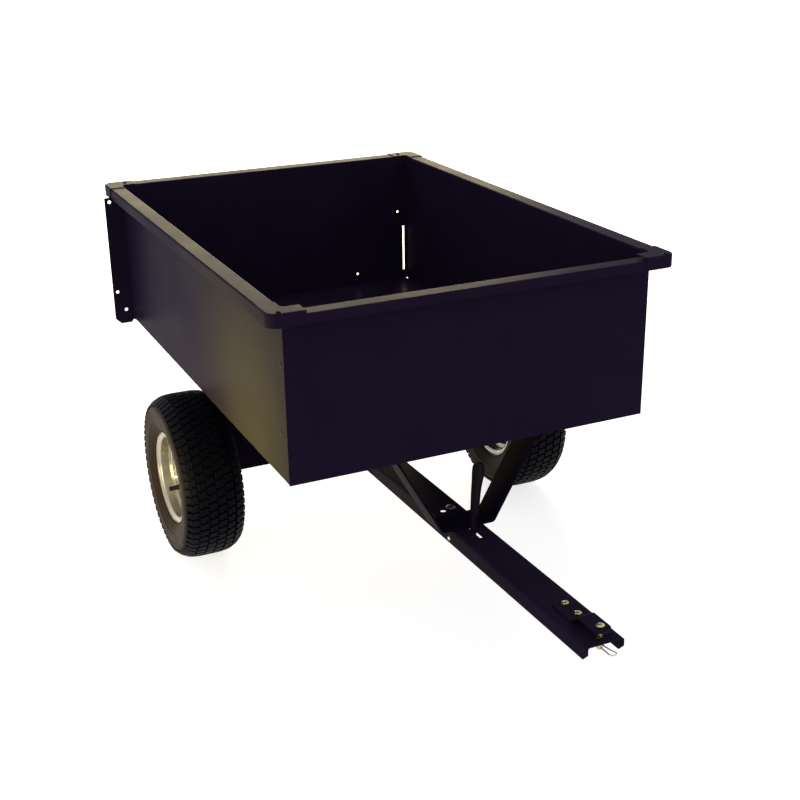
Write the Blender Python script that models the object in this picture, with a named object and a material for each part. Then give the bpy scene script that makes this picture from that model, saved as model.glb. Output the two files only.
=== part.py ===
"""Tipping garden tractor trailer: a sheet-steel bed on two wheels, a channel drawbar and a pin hitch.

Metres, +Z up, the drawbar points along -Y and the tyres stand on z = 0. The origin is below the
middle of the whole trailer. Each moving piece hangs on an empty that lies on its joint's axis.
"""
import math

import bmesh
import bpy
from mathutils import Vector

# Fits
GAP = 0.0003

# Sides of a round piece: small fasteners have fewer than the axle and what turns on it
SMALL_STEPS = 12
AXLE_STEPS = 24
WHEEL_STEPS = 28
SMALL_RADIUS = 0.0075

# Bed, measured over the outside of its walls and from the bottom edge of the walls
BED_WIDTH = 0.843
BED_LENGTH = 1.214
BED_DEPTH = 0.374
SHEET = 0.0015
STRIP_WIDTH = 0.0385
STRIP_LIP = 0.027
FRONT_STRIP_DROP = 0.0063
FOOT_FLANGE = 0.006
CORNER_TAB = 0.045
FLOOR_LIP = 0.025
SILL_LEG = 0.015
REAR_FLANGE = 0.053
REAR_FLANGE_DROP = 0.007
REAR_FLANGE_CHAMFER = 0.015

# Holes in the side panels' rear flanges: distance out from the wall, height, radius
FLANGE_HOLES = ((0.0398, 0.3343, 0.0045), (0.0408, 0.084, 0.0045), (0.0212, 0.0315, 0.0045))

# Rivets in the front corners: distance behind the front, height
CORNER_RIVETS = (("upper", 0.018, 0.254), ("lower", 0.031, 0.103))
RIVET_RADIUS = 0.003
RIVET_HEAD_RADIUS = 0.0062
RIVET_HEAD = 0.0028
RIVET_TAIL_RADIUS = 0.005
RIVET_TAIL = 0.002

# Corner caps
CAP_LEG = 0.077
CAP_LIP = 0.029
CAP_CORNER = 0.024
CAP_SCREW_IN = 0.022
SCREW_RADIUS = 0.0025
SCREW_HEAD_RADIUS = 0.0055
SCREW_HEAD = 0.0025
SCREW_LENGTH = 0.012

# Tailgate
TAILGATE_SETBACK = 0.006
TAILGATE_STRIP = 0.0465
TAILGATE_SIDE_CLEARANCE = 0.0015
TAILGATE_OVERLAP = 0.008
TAILGATE_SLOT_WIDTH = 0.006
TAILGATE_SLOT_IN = 0.018
TAILGATE_SLOT_BOTTOM = 0.030
TAILGATE_SLOT_TOP = 0.165
TAILGATE_HOLE_IN = 0.0270
TAILGATE_HOLE_HEIGHT = 0.210
TAILGATE_LOW_HOLE_IN = 0.161
TAILGATE_LOW_HOLE_HEIGHT = 0.036
TAILGATE_HOLE_RADIUS = 0.0035

# Axle and wheels
TYRE_RADIUS = 0.2032
TYRE_WIDTH = 0.147
TREAD_THICKNESS = 0.009
SIDEWALL = 0.0063
BEAD_WIDTH = 0.012
BEAD_OVER_RIM = 0.0035
BEAD_UNDER_RIM = 0.003
RIM_RADIUS = 0.1125
RIM_SEAT_RADIUS = 0.1016
RIM_WELL_RADIUS = 0.0885
RIM_WIDTH = 0.120
RIM_SHEET = 0.0025
RIM_WELL_HALF = 0.0276
RIM_WELL_WALL = 0.003
RIM_SEAT_RISE = 0.002
RIM_FLANGE_LEAN = 0.0008
RIM_FLANGE_CURL = 0.0035
RIM_DISC_OUT = 0.0255
RIM_DISC_CONE = 0.006
WHEEL_TRACK = 0.892
AXLE_RADIUS = 0.0079
AXLE_BACK = 0.636
AXLE_DROP = 0.228
HUB_RADIUS = 0.0175
HUB_OUTER_REACH = 0.033
SPACER_WALL = 0.0035
WASHER_RADIUS = 0.0165
WASHER_THICKNESS = 0.0022
AXLE_NUT_FLATS = 0.024
AXLE_NUT_HEIGHT = 0.007
AXLE_END = 0.003
VALVE_RADIAL = 0.066
VALVE_BELOW = math.radians(50)
VALVE_INSIDE = 0.005
VALVE_RADIUS = 0.0065
VALVE_LENGTH = 0.027

# Axle brackets under the floor
BRACKET_SHEET = 0.003
BRACKET_TO_TYRE = 0.0155
BRACKET_WIDTH = 0.165
BRACKET_FRONT = 0.024
BRACKET_REAR = 0.028
BRACKET_SKIRT = 0.232
BRACKET_EYE = 0.022
BRACKET_BOLT_SPACING = 0.090

# Floor bolts and their nuts
BOLT_RADIUS = 0.004
BOLT_HEAD_RADIUS = 0.0090
BOLT_HEAD = 0.0035
NUT_FLATS = 0.013
NUT_HEIGHT = 0.0065
BOLT_TAIL = 0.004

# V-shaped rest between the bed floor and the drawbar
REST_PLATE = 0.005
REST_FRONT = 0.029
REST_WIDTH = 0.072
REST_TOP_HALF = 0.176
REST_FOOT_HALF = 0.0625
REST_TAB = 0.034

# Drawbar: its web falls to the rear; its frame is centred on the axle and lies along the web
DRAWBAR_SLOPE = math.radians(1.18)
DRAWBAR_WIDTH = 0.082
DRAWBAR_DEPTH = 0.033
DRAWBAR_SHEET = 0.003
DRAWBAR_TOP = 0.0117
DRAWBAR_FRONT = 1.146
DRAWBAR_REAR = 0.030
DRAWBAR_CHAMFER = 0.015
LIGHTENING_HOLE = (-0.0095, -0.502)
LIGHTENING_HOLE_RADIUS = 0.007
STOP_BOLT_PLACE = (0.013, -0.494)
STOP_BOLT_RADIUS = 0.006
STOP_BOLT_HEAD_RADIUS = 0.0115
STOP_BOLT_HEAD = 0.0055
STOP_NUT_FLATS = 0.019
STOP_NUT_HEIGHT = 0.008

# Latch lever, on a pivot pin inside the drawbar
LATCH_X = 0.003
LATCH_PIVOT_Y = -0.592
LATCH_PIVOT_Z = -0.0102
LATCH_PLATE = 0.006
LATCH_PIN_RADIUS = 0.004
LATCH_PIN_HEAD_RADIUS = 0.0055
LATCH_PIN_HEAD = 0.003
LATCH_EYE = 0.0105
LATCH_ARM_AHEAD = 0.0305
LATCH_ARM_WIDTH = 0.020
LATCH_ARM_SPREAD = 0.014
LATCH_WAIST = 0.055
LATCH_SHOULDER = 0.075
LATCH_HEIGHT = 0.197
LATCH_LEAN = 0.036
LATCH_TIP = 0.006
LATCH_KNEE_LEAN = 0.0035
LATCH_HEAD_LEAN = 0.009
LATCH_HEAD_HALF = 0.009
LATCH_HEAD_BULGE = 0.006
LATCH_TOOTH_CLEARANCE = 0.0005
LATCH_SLOT_SIDE = 0.001
LATCH_SLOT_AHEAD = 0.029
LATCH_SLOT_BEHIND = 0.0004

# Hitch: a joggled strap bolted on the drawbar, with a drop pin and its hairpin clip
STRAP_PLATE = 0.0045
STRAP_RISE = 0.0235
STRAP_HALF_WIDTH = 0.0185
STRAP_REAR = 0.986
STRAP_STEP_REAR = 1.053
STRAP_STEP_FRONT = 1.076
STRAP_FRONT = 1.147
HITCH_BOLTS = (("rear", 0.003, -0.9985), ("front", 0.004, -1.043))
HITCH_BOLT_RADIUS = 0.004
HITCH_BOLT_FLATS = 0.014
HITCH_BOLT_HEAD = 0.0055
PIN_AHEAD = 0.489
PIN_RADIUS = 0.00635
PIN_HEAD_RADIUS = 0.0095
PIN_HEAD = 0.004
PIN_TAIL = 0.021
PIN_POINT = 0.002
CLIP_WIRE = 0.003
CLIP_BELOW_WEB = 0.0165
CLIP_HOLE_CLEARANCE = 0.0005
CLIP_TAIL = 0.018
CLIP_LEG = 0.032
CLIP_BOW = 0.0075

# Places worked out from the driving dimensions
HALF_WIDTH = BED_WIDTH / 2
AXLE_HEIGHT = TYRE_RADIUS
TAILGATE_FRONT = BED_LENGTH + TAILGATE_SETBACK
FRONT_REACH = PIN_AHEAD + CLIP_LEG + CLIP_BOW + CLIP_WIRE / 2
REAR_REACH = TAILGATE_FRONT + TAILGATE_STRIP + GAP + SHEET
AXLE_Y = (FRONT_REACH - REAR_REACH) / 2 + AXLE_BACK
WHEEL_X = WHEEL_TRACK / 2
BRACKET_OUT = WHEEL_X - TYRE_WIDTH / 2 - BRACKET_TO_TYRE
HUB_END = WHEEL_X + HUB_OUTER_REACH
WASHER_END = HUB_END + GAP + WASHER_THICKNESS
NUT_END = WASHER_END + GAP + AXLE_NUT_HEIGHT
FLOOR_BOTTOM = SHEET + GAP
FLOOR_TOP = FLOOR_BOTTOM + SHEET
CAP_BOTTOM = BED_DEPTH + GAP
CAP_TOP = CAP_BOTTOM + SHEET
STRIP_OUT = HALF_WIDTH + STRIP_WIDTH
FRONT_TOP = BED_DEPTH - FRONT_STRIP_DROP
SILL_FRONT = TAILGATE_FRONT + SHEET + GAP
REST_BACK = REST_FRONT + REST_WIDTH
WEB_BOTTOM = DRAWBAR_TOP - DRAWBAR_SHEET
PIN_Y = -(PIN_AHEAD + AXLE_BACK)
CLIP_Z = WEB_BOTTOM - CLIP_BELOW_WEB

SIDES = (("left", -1), ("right", 1))


def finish(name, colour, roughness, metallic):
    """Principled material with the colour that the piece has in the open."""
    material = bpy.data.materials.new(name)
    material.use_nodes = True
    shader = material.node_tree.nodes["Principled BSDF"]
    shader.inputs["Base Color"].default_value = (*colour, 1.0)
    shader.inputs["Roughness"].default_value = roughness
    shader.inputs["Metallic"].default_value = metallic
    return material


def empty(name, place, parent=None, turn=0.0):
    """Empty on a joint's axis, turned about X."""
    frame = bpy.data.objects.new(name, None)
    frame.location = place
    frame.rotation_euler.x = turn
    frame.parent = parent
    bpy.context.collection.objects.link(frame)
    return frame


def solid(name, shape, material, parent, place=(0.0, 0.0, 0.0)):
    """Object from a bmesh, with its faces pointing out."""
    bmesh.ops.recalc_face_normals(shape, faces=shape.faces)
    mesh = bpy.data.meshes.new(name)
    shape.to_mesh(mesh)
    shape.free()
    mesh.shade_smooth()
    mesh.set_sharp_from_angle(angle=math.radians(35))
    piece = bpy.data.objects.new(name, mesh)
    piece.location = place
    piece.parent = parent
    if material:
        mesh.materials.append(material)
    bpy.context.collection.objects.link(piece)
    return piece


def round_steps(radius):
    """Sides for a round piece or hole of this radius."""
    return SMALL_STEPS if radius < SMALL_RADIUS else AXLE_STEPS


def sweep(rings, closed):
    """Bmesh that joins rings of points in turn; its ends are capped unless the rings close."""
    shape = bmesh.new()
    loops = [[shape.verts.new(point) for point in ring] for ring in rings]
    pairs = list(zip(loops, loops[1:]))
    if closed:
        pairs.append((loops[-1], loops[0]))
    else:
        shape.faces.new(loops[0])
        shape.faces.new(loops[-1])
    for first, second in pairs:
        for index in range(len(first)):
            after = (index + 1) % len(first)
            shape.faces.new((first[index], first[after], second[after], second[index]))
    return shape


def point_on(axis, across, level):
    """Point given by its place in the plane across an axis and its level along that axis."""
    if axis == "X":
        return (level, across[0], across[1])
    if axis == "Y":
        return (across[0], level, across[1])
    return (across[0], across[1], level)


def prism(name, outline, start, end, axis, material, parent, place=(0.0, 0.0, 0.0)):
    """Solid with a flat outline run along an axis."""
    rings = [[point_on(axis, point, level) for point in outline] for level in (start, end)]
    return solid(name, sweep(rings, False), material, parent, place)


def turned(name, profile, axis, steps, material, parent, place=(0.0, 0.0, 0.0), ring=False):
    """Turned solid: the profile gives a place along the axis, a radius and, for flats, "hex".

    A ring's profile closes on itself. Any other profile is capped at both ends.
    """
    rings = []
    for level, radius, *form in profile:
        loop = []
        for step in range(steps):
            angle = math.tau * step / steps
            reach = radius
            if form:
                reach = radius / math.cos((angle + math.pi / 6) % (math.pi / 3) - math.pi / 6)
            across = (reach * math.sin(angle), -reach * math.cos(angle))
            loop.append(point_on(axis, across, level))
        rings.append(loop)
    return solid(name, sweep(rings, ring), material, parent, place)


def box(x, y, z):
    """Outline and run of a box, as prism wants them."""
    return [(x[0], y[0]), (x[1], y[0]), (x[1], y[1]), (x[0], y[1])], z[0], z[1], "Z"


def folded(path, thickness):
    """Outline of a folded sheet: one face follows the path, the other lies to the path's left."""
    points = [Vector(point) for point in path]
    normals = []
    for start, end in zip(points, points[1:]):
        run = (end - start).normalized()
        normals.append(Vector((-run.y, run.x)))
    other = []
    for index, point in enumerate(points):
        before = normals[max(index - 1, 0)]
        after = normals[min(index, len(normals) - 1)]
        mitre = before + after
        other.append(point + mitre * (thickness / mitre.dot(after)))
    return [tuple(point) for point in points + other[::-1]]


def combine(piece, tool, operation):
    """Cut a tool out of a piece, or join the two into one body."""
    tool.hide_render = True
    tool.display_type = "WIRE"
    change = piece.modifiers.new(tool.name, "BOOLEAN")
    change.operation = operation
    change.object = tool
    change.solver = "EXACT"


def drill(piece, axis, centre, radius, start, end, parent, place=(0.0, 0.0, 0.0)):
    """Round hole along an axis; the centre is given in the plane across it."""
    spot = Vector(place) + Vector(point_on(axis, centre, 0.0))
    profile = ((start, radius), (end, radius))
    tool = turned(piece.name + "_hole", profile, axis, round_steps(radius), None, parent, spot)
    combine(piece, tool, "DIFFERENCE")


def arc(centre, radius, start, end, steps):
    """Points on an arc, angles in degrees."""
    points = []
    for step in range(steps + 1):
        angle = math.radians(start + (end - start) * step / steps)
        points.append((centre[0] + radius * math.cos(angle), centre[1] + radius * math.sin(angle)))
    return points


def mirrored(outline, side):
    """Outline with its first coordinate on the given side."""
    return [(side * point[0], point[1]) for point in outline]


def hex_nut(name, bore, flats, height, top, centre, material, parent, place):
    """Hexagonal nut whose upper face lies at the given height."""
    profile = (
        (top, bore),
        (top, flats / 2, "hex"),
        (top - height, flats / 2, "hex"),
        (top - height, bore),
    )
    spot = (place[0] + centre[0], place[1] + centre[1], place[2])
    return turned(name, profile, "Z", SMALL_STEPS, material, parent, spot, ring=True)


def domed(seat, radius, height):
    """Profile of a low round head, from its crown to its seat."""
    crown = radius * 0.55
    shoulder = radius * 0.90
    return ((seat + height, crown), (seat + height * 0.6, shoulder), (seat, radius))


def round_bolt(name, radius, head_radius, head, seat, tail, centre, material, parent, place):
    """Round-headed bolt with its head on a seat and its shank down to the tail."""
    profile = (
        *domed(seat, head_radius, head),
        (seat, radius),
        (tail, radius),
    )
    spot = (place[0] + centre[0], place[1] + centre[1], place[2])
    return turned(name, profile, "Z", SMALL_STEPS, material, parent, spot)


def front_panel(steel, bed, place):
    """Front wall with an outward top strip and a tab folded back inside each side panel."""
    wall = folded([(0.0, 0.0), (0.0, FRONT_TOP)], SHEET)
    wall = [(-point[0], point[1]) for point in wall]
    panel = prism("front_panel", wall, -HALF_WIDTH, HALF_WIDTH, "X", steel, bed, place)
    strip = [(-SHEET, FRONT_TOP - SHEET), (STRIP_WIDTH - SHEET, FRONT_TOP - SHEET)]
    strip.append((STRIP_WIDTH - SHEET, BED_DEPTH - STRIP_LIP))
    strip = [(-point[0], point[1]) for point in folded(strip, SHEET)]
    reach = STRIP_OUT - CAP_CORNER
    top = prism("front_strip", strip, -reach, reach, "X", None, bed, place)
    combine(panel, top, "UNION")
    tab_face = HALF_WIDTH - SHEET - GAP
    for word, side in SIDES:
        x = sorted((side * tab_face, side * (tab_face - SHEET)))
        form = box(x, (SHEET / 2, CORNER_TAB), (FLOOR_LIP + FLOOR_TOP + GAP, BED_DEPTH - STRIP_LIP))
        tab = prism(word + "_tab", *form, None, bed, place)
        combine(panel, tab, "UNION")
    for word, side in SIDES:
        for _, y, z in CORNER_RIVETS:
            ends = sorted((side * (tab_face - 2 * SHEET), side * HALF_WIDTH))
            drill(panel, "X", (y, z), RIVET_RADIUS + GAP, *ends, bed, place)
        drill(panel, "Z", (side * cap_screw_x(), -cap_screw_y()), SCREW_RADIUS + GAP,
              FRONT_TOP - 2 * SHEET, FRONT_TOP + SHEET, bed, place)
    return panel


def cap_screw_x():
    """Distance of the cap screws from the middle of the bed."""
    return STRIP_OUT - CAP_SCREW_IN


def cap_screw_y():
    """Distance of the front cap screws ahead of the front wall."""
    return STRIP_WIDTH - CAP_SCREW_IN / 2


def side_panel(word, side, steel, bed, place):
    """Side wall with a foot under the floor, a top strip and a drilled rear flange."""
    path = [(HALF_WIDTH - FOOT_FLANGE, 0.0), (HALF_WIDTH, 0.0), (HALF_WIDTH, BED_DEPTH - SHEET)]
    path.append((STRIP_OUT - SHEET, BED_DEPTH - SHEET))
    path.append((STRIP_OUT - SHEET, BED_DEPTH - STRIP_LIP))
    outline = mirrored(folded(path, SHEET), side)
    start = SHEET + GAP
    panel = prism(word + "_side_panel", outline, start, BED_LENGTH, "Y", steel, bed, place)
    outer = HALF_WIDTH + REAR_FLANGE
    flange_top = CAP_TOP - CAP_LIP - 2 * GAP
    flange = [
        (HALF_WIDTH - SHEET, 0.0),
        (HALF_WIDTH, -REAR_FLANGE_DROP),
        (outer - REAR_FLANGE_CHAMFER, -REAR_FLANGE_DROP),
        (outer, REAR_FLANGE_CHAMFER - REAR_FLANGE_DROP),
        (outer, flange_top),
        (HALF_WIDTH - SHEET, flange_top),
    ]
    flange = prism(word + "_rear_flange", mirrored(flange, side), BED_LENGTH - SHEET, BED_LENGTH,
                   "Y", None, bed, place)
    combine(panel, flange, "UNION")
    # A narrower bed or a wider track brings the axle bracket under the foot, which is notched for it
    run = sorted((side * (BRACKET_OUT - BRACKET_WIDTH - GAP), side * (BRACKET_OUT + GAP)))
    form = box(run, (AXLE_BACK - BRACKET_FRONT - GAP, AXLE_BACK + BRACKET_REAR + GAP),
               (-SHEET, FLOOR_BOTTOM))
    combine(panel, prism(word + "_foot_notch", *form, None, bed, place), "DIFFERENCE")
    for out, height, radius in FLANGE_HOLES:
        drill(panel, "Y", (side * (HALF_WIDTH + out), height), radius,
              BED_LENGTH - 2 * SHEET, BED_LENGTH + SHEET, bed, place)
    for _, y, z in CORNER_RIVETS:
        ends = sorted((side * (HALF_WIDTH - 2 * SHEET), side * (HALF_WIDTH + SHEET)))
        drill(panel, "X", (y, z), RIVET_RADIUS + GAP, *ends, bed, place)
    return panel


def floor_bolt_places():
    """Name and place of each bolt through the floor, from the middle of the bed's front."""
    places = []
    for word, side in SIDES:
        rest = (side * (REST_TOP_HALF + REST_TAB / 2), REST_FRONT + REST_WIDTH / 2)
        places.append((word + "_rest", rest, REST_PLATE))
        middle = BRACKET_OUT - BRACKET_WIDTH / 2
        for end, shift in (("inner", -1), ("outer", 1)):
            x = side * (middle + shift * BRACKET_BOLT_SPACING / 2)
            y = AXLE_BACK + (BRACKET_REAR - BRACKET_FRONT) / 2
            places.append((word + "_bracket_" + end, (x, y), BRACKET_SHEET))
    return places


def floor_panel(steel, bed, place):
    """Flat floor that lies on the side panels' feet and runs on under the tailgate and its sill."""
    half = HALF_WIDTH - SHEET - GAP
    form = box((-half, half), (SHEET + GAP, SILL_FRONT + SILL_LEG), (FLOOR_BOTTOM, FLOOR_TOP))
    floor = prism("floor_panel", *form, steel, bed, place)
    for _, centre, _ in floor_bolt_places():
        drill(floor, "Z", centre, BOLT_RADIUS + GAP, -SHEET, 3 * SHEET, bed, place)
    return floor


def tailgate_sill(steel, bed, place):
    """Angle welded on the floor's rear edge, whose upstand keeps the tailgate's foot in."""
    half = HALF_WIDTH - SHEET - GAP
    low = FLOOR_TOP + GAP
    path = [(SILL_FRONT, FLOOR_TOP + FLOOR_LIP), (SILL_FRONT, low), (SILL_FRONT + SILL_LEG, low)]
    return prism("tailgate_sill", folded(path, SHEET), -half, half, "X", steel, bed, place)


def cap_outline(side, out, front, rear, leg_x, leg_y):
    """L-shaped plan of a corner cap with a round outer corner, front being the corner's side."""
    way = 1 if rear > front else -1
    inner_x = out - leg_x
    round_x = out - CAP_CORNER
    round_y = front + way * CAP_CORNER
    corner = [(round_x + CAP_CORNER * math.sin(a), round_y - way * CAP_CORNER * math.cos(a))
              for a in (math.pi / 2 * step / 6 for step in range(7))]
    plan = [(inner_x, front)] + corner + [(out, front + way * leg_y)]
    plan += [(HALF_WIDTH, front + way * leg_y), (HALF_WIDTH, rear), (inner_x, rear)]
    return mirrored(plan, side)


def corner_cap(name, side, front, rear, steel, parent, place):
    """Sheet cap over a corner of the top strips, with its rim turned down outside their lips."""
    out = STRIP_OUT + GAP + SHEET
    way = 1 if rear > front else -1
    plan = cap_outline(side, out, front, rear, CAP_LEG, CAP_LEG)
    cap = prism(name, plan, CAP_TOP - CAP_LIP, CAP_TOP, "Z", steel, parent, place)
    hollow_out = out - SHEET
    hollow_front = front + way * SHEET
    corner = CAP_CORNER - SHEET
    round_x = hollow_out - corner
    round_y = hollow_front + way * corner
    far = front + way * 2 * CAP_LEG
    hollow = [(round_x + corner * math.sin(a), round_y - way * corner * math.cos(a))
              for a in (math.pi / 2 * step / 6 for step in range(7))]
    hollow = [(HALF_WIDTH - 2 * CAP_LEG, hollow_front)] + hollow
    hollow += [(hollow_out, far), (HALF_WIDTH - 2 * CAP_LEG, far)]
    tool = prism(name + "_hollow", mirrored(hollow, side), CAP_TOP - 2 * CAP_LIP, CAP_BOTTOM, "Z",
                 None, parent, place)
    combine(cap, tool, "DIFFERENCE")
    return cap


def cap_screw(name, centre, screw_steel, parent, place):
    """Round-headed screw through a corner cap and the strip below it."""
    seat = CAP_TOP + GAP
    return round_bolt(name, SCREW_RADIUS, SCREW_HEAD_RADIUS, SCREW_HEAD, seat, seat - SCREW_LENGTH,
                      centre, screw_steel, parent, place)


def tailgate(steel, gate, place):
    """Loose rear wall that stands on the floor between the rear flanges and the sill."""
    half = HALF_WIDTH - SHEET - TAILGATE_SIDE_CLEARANCE + TAILGATE_OVERLAP
    path = [(0.0, FLOOR_TOP + GAP), (0.0, BED_DEPTH - SHEET)]
    path.append((TAILGATE_STRIP - 2 * SHEET, BED_DEPTH - SHEET))
    path.append((TAILGATE_STRIP - 2 * SHEET, BED_DEPTH - STRIP_LIP))
    # The path runs up the panel's rear face, so the sheet lies ahead of it
    path = [(TAILGATE_FRONT + SHEET + point[0], point[1]) for point in path]
    outline = folded(path, SHEET)
    panel = prism("tailgate", outline, -half, half, "X", steel, gate, place)
    low = TAILGATE_SLOT_BOTTOM
    for word, side in SIDES:
        inner = half - TAILGATE_SLOT_IN
        x = sorted((side * inner, side * (inner + TAILGATE_SLOT_WIDTH)))
        form = box(x, (TAILGATE_FRONT - SHEET, TAILGATE_FRONT + 2 * SHEET), (low, TAILGATE_SLOT_TOP))
        combine(panel, prism(word + "_slot", *form, None, gate, place), "DIFFERENCE")
        for inset, height in ((TAILGATE_HOLE_IN, TAILGATE_HOLE_HEIGHT),
                              (TAILGATE_LOW_HOLE_IN, TAILGATE_LOW_HOLE_HEIGHT)):
            drill(panel, "Y", (side * (HALF_WIDTH - SHEET - inset), height), TAILGATE_HOLE_RADIUS,
                  TAILGATE_FRONT - SHEET, TAILGATE_FRONT + 2 * SHEET, gate, place)
        drill(panel, "Z", (side * tailgate_screw_x(), tailgate_screw_y()), SCREW_RADIUS + GAP,
              BED_DEPTH - 2 * SHEET, BED_DEPTH + SHEET, gate, place)
    return panel


def tailgate_screw_x():
    """Distance of the tailgate's cap screws from the middle."""
    return HALF_WIDTH - SHEET - TAILGATE_SIDE_CLEARANCE - CAP_SCREW_IN / 2


def tailgate_screw_y():
    """Place of the tailgate's cap screws behind the bed's front."""
    return TAILGATE_FRONT + TAILGATE_STRIP / 2


def bed_rest(steel, bed, place):
    """Bent V strip bolted under the floor, whose foot lies on the sloping drawbar web."""
    top = FLOOR_BOTTOM - GAP - REST_PLATE
    web_drop = AXLE_DROP - DRAWBAR_TOP / math.cos(DRAWBAR_SLOPE)
    rise = math.tan(DRAWBAR_SLOPE)
    rings = []
    for y in (REST_FRONT, REST_BACK):
        foot = -web_drop + rise * (AXLE_BACK - y) + GAP
        path = [
            (-REST_TOP_HALF - REST_TAB, top),
            (-REST_TOP_HALF, top),
            (-REST_FOOT_HALF, foot),
            (REST_FOOT_HALF, foot),
            (REST_TOP_HALF, top),
            (REST_TOP_HALF + REST_TAB, top),
        ]
        rings.append([(point[0], y, point[1]) for point in folded(path, REST_PLATE)])
    rest = solid("bed_rest_bracket", sweep(rings, False), steel, bed, place)
    for name, centre, _ in floor_bolt_places():
        if name.endswith("rest"):
            drill(rest, "Z", centre, BOLT_RADIUS + GAP, top - SHEET, SHEET, bed, place)
    return rest


def axle_bracket(word, side, steel, bed, place):
    """Folded bracket that hangs the axle from the floor: front skirt, two eyed cheeks and a top."""
    top = FLOOR_BOTTOM - GAP
    front = AXLE_BACK - BRACKET_FRONT
    rear = AXLE_BACK + BRACKET_REAR
    outline = [(front, top), (front, -BRACKET_SKIRT)]
    outline += arc((AXLE_BACK, -AXLE_DROP), BRACKET_EYE, 200, 360, 8)
    outline += [(rear, -AXLE_DROP + 2 * BRACKET_EYE), (rear, top)]
    inner = BRACKET_OUT - BRACKET_WIDTH
    run = sorted((side * inner, side * BRACKET_OUT))
    bracket = prism(word + "_axle_bracket", outline, *run, "X", steel, bed, place)
    inside = (run[0] + BRACKET_SHEET, run[1] - BRACKET_SHEET)
    form = box(inside, (front + BRACKET_SHEET, rear + BRACKET_SHEET),
               (-AXLE_DROP - 2 * BRACKET_EYE, top - BRACKET_SHEET))
    combine(bracket, prism(word + "_bracket_hollow", *form, None, bed, place), "DIFFERENCE")
    ends = (run[0] - BRACKET_SHEET, run[1] + BRACKET_SHEET)
    drill(bracket, "X", (AXLE_BACK, -AXLE_DROP), AXLE_RADIUS + GAP, *ends, bed, place)
    for name, centre, _ in floor_bolt_places():
        if name.startswith(word + "_bracket"):
            drill(bracket, "Z", centre, BOLT_RADIUS + GAP, top - 2 * BRACKET_SHEET, SHEET, bed, place)
    return bracket


def floor_fasteners(zinc, bed, place):
    """Round-headed bolts through the floor, each with its nut below."""
    for name, centre, plate in floor_bolt_places():
        nut_top = FLOOR_BOTTOM - GAP - plate - GAP
        tail = nut_top - NUT_HEIGHT - BOLT_TAIL
        round_bolt(name + "_bolt", BOLT_RADIUS, BOLT_HEAD_RADIUS, BOLT_HEAD, FLOOR_TOP + GAP, tail,
                   centre, zinc, bed, place)
        hex_nut(name + "_nut", BOLT_RADIUS + GAP, NUT_FLATS, NUT_HEIGHT, nut_top, centre, zinc,
                bed, place)


def corner_rivets(word, side, steel, bed, place):
    """Rivets that hold the front panel's tabs to a side panel."""
    inner = HALF_WIDTH - 2 * SHEET - GAP
    profile = (
        *domed(HALF_WIDTH + GAP, RIVET_HEAD_RADIUS, RIVET_HEAD),
        (HALF_WIDTH + GAP, RIVET_RADIUS),
        (inner - GAP, RIVET_RADIUS),
        (inner - GAP, RIVET_TAIL_RADIUS),
        (inner - GAP - RIVET_TAIL, RIVET_TAIL_RADIUS * 0.9),
    )
    profile = [(side * level, radius) for level, radius in profile]
    for height, y, z in CORNER_RIVETS:
        spot = (place[0], place[1] + y, place[2] + z)
        turned(word + "_" + height + "_corner_rivet", profile, "X", SMALL_STEPS, steel, bed, spot)


def both_halves(half):
    """Closed section from the half on +X, given from the middle's outside round to its inside."""
    outer, inner = half
    section = [(-x, r) for x, r in reversed(outer) if x > 0.0] + list(outer)
    section += list(inner) + [(-x, r) for x, r in reversed(inner) if x > 0.0]
    return section


def tyre(word, rubber, wheel):
    """Hollow tyre: rounded tread and sidewalls, beads on the rim's seats."""
    bulge = TYRE_WIDTH / 2
    seat = RIM_SEAT_RADIUS + GAP
    height = TYRE_RADIUS - seat
    flat_edge = (bulge * 0.50, TYRE_RADIUS - height * 0.015)
    shoulder = (bulge * 0.82, TYRE_RADIUS - height * 0.10)
    upper_wall = (bulge * 0.97, TYRE_RADIUS - height * 0.27)
    widest = (bulge, TYRE_RADIUS - height * 0.47)
    lower_wall = (bulge * 0.95, TYRE_RADIUS - height * 0.68)
    flange = RIM_WIDTH / 2
    bead_out = flange - 2 * RIM_SHEET - 2 * GAP
    bead_in = bead_out - BEAD_WIDTH
    over_rim = (flange - 2 * GAP, RIM_RADIUS + BEAD_OVER_RIM)
    under_rim = (bead_out, RIM_RADIUS - BEAD_UNDER_RIM)
    outer = ((0.0, TYRE_RADIUS), flat_edge, shoulder, upper_wall, widest, lower_wall, over_rim,
             under_rim, (bead_out, seat))
    inner = (
        (bead_in, seat),
        (bead_in, RIM_RADIUS),
        (bulge - SIDEWALL, TYRE_RADIUS - height * 0.60),
        (bulge - SIDEWALL, TYRE_RADIUS - height * 0.38),
        (shoulder[0] - SIDEWALL, shoulder[1] - TREAD_THICKNESS),
        (0.0, TYRE_RADIUS - TREAD_THICKNESS),
    )
    section = both_halves((outer, inner))
    return turned(word + "_tyre", section, "X", WHEEL_STEPS, rubber, wheel, ring=True)


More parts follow.
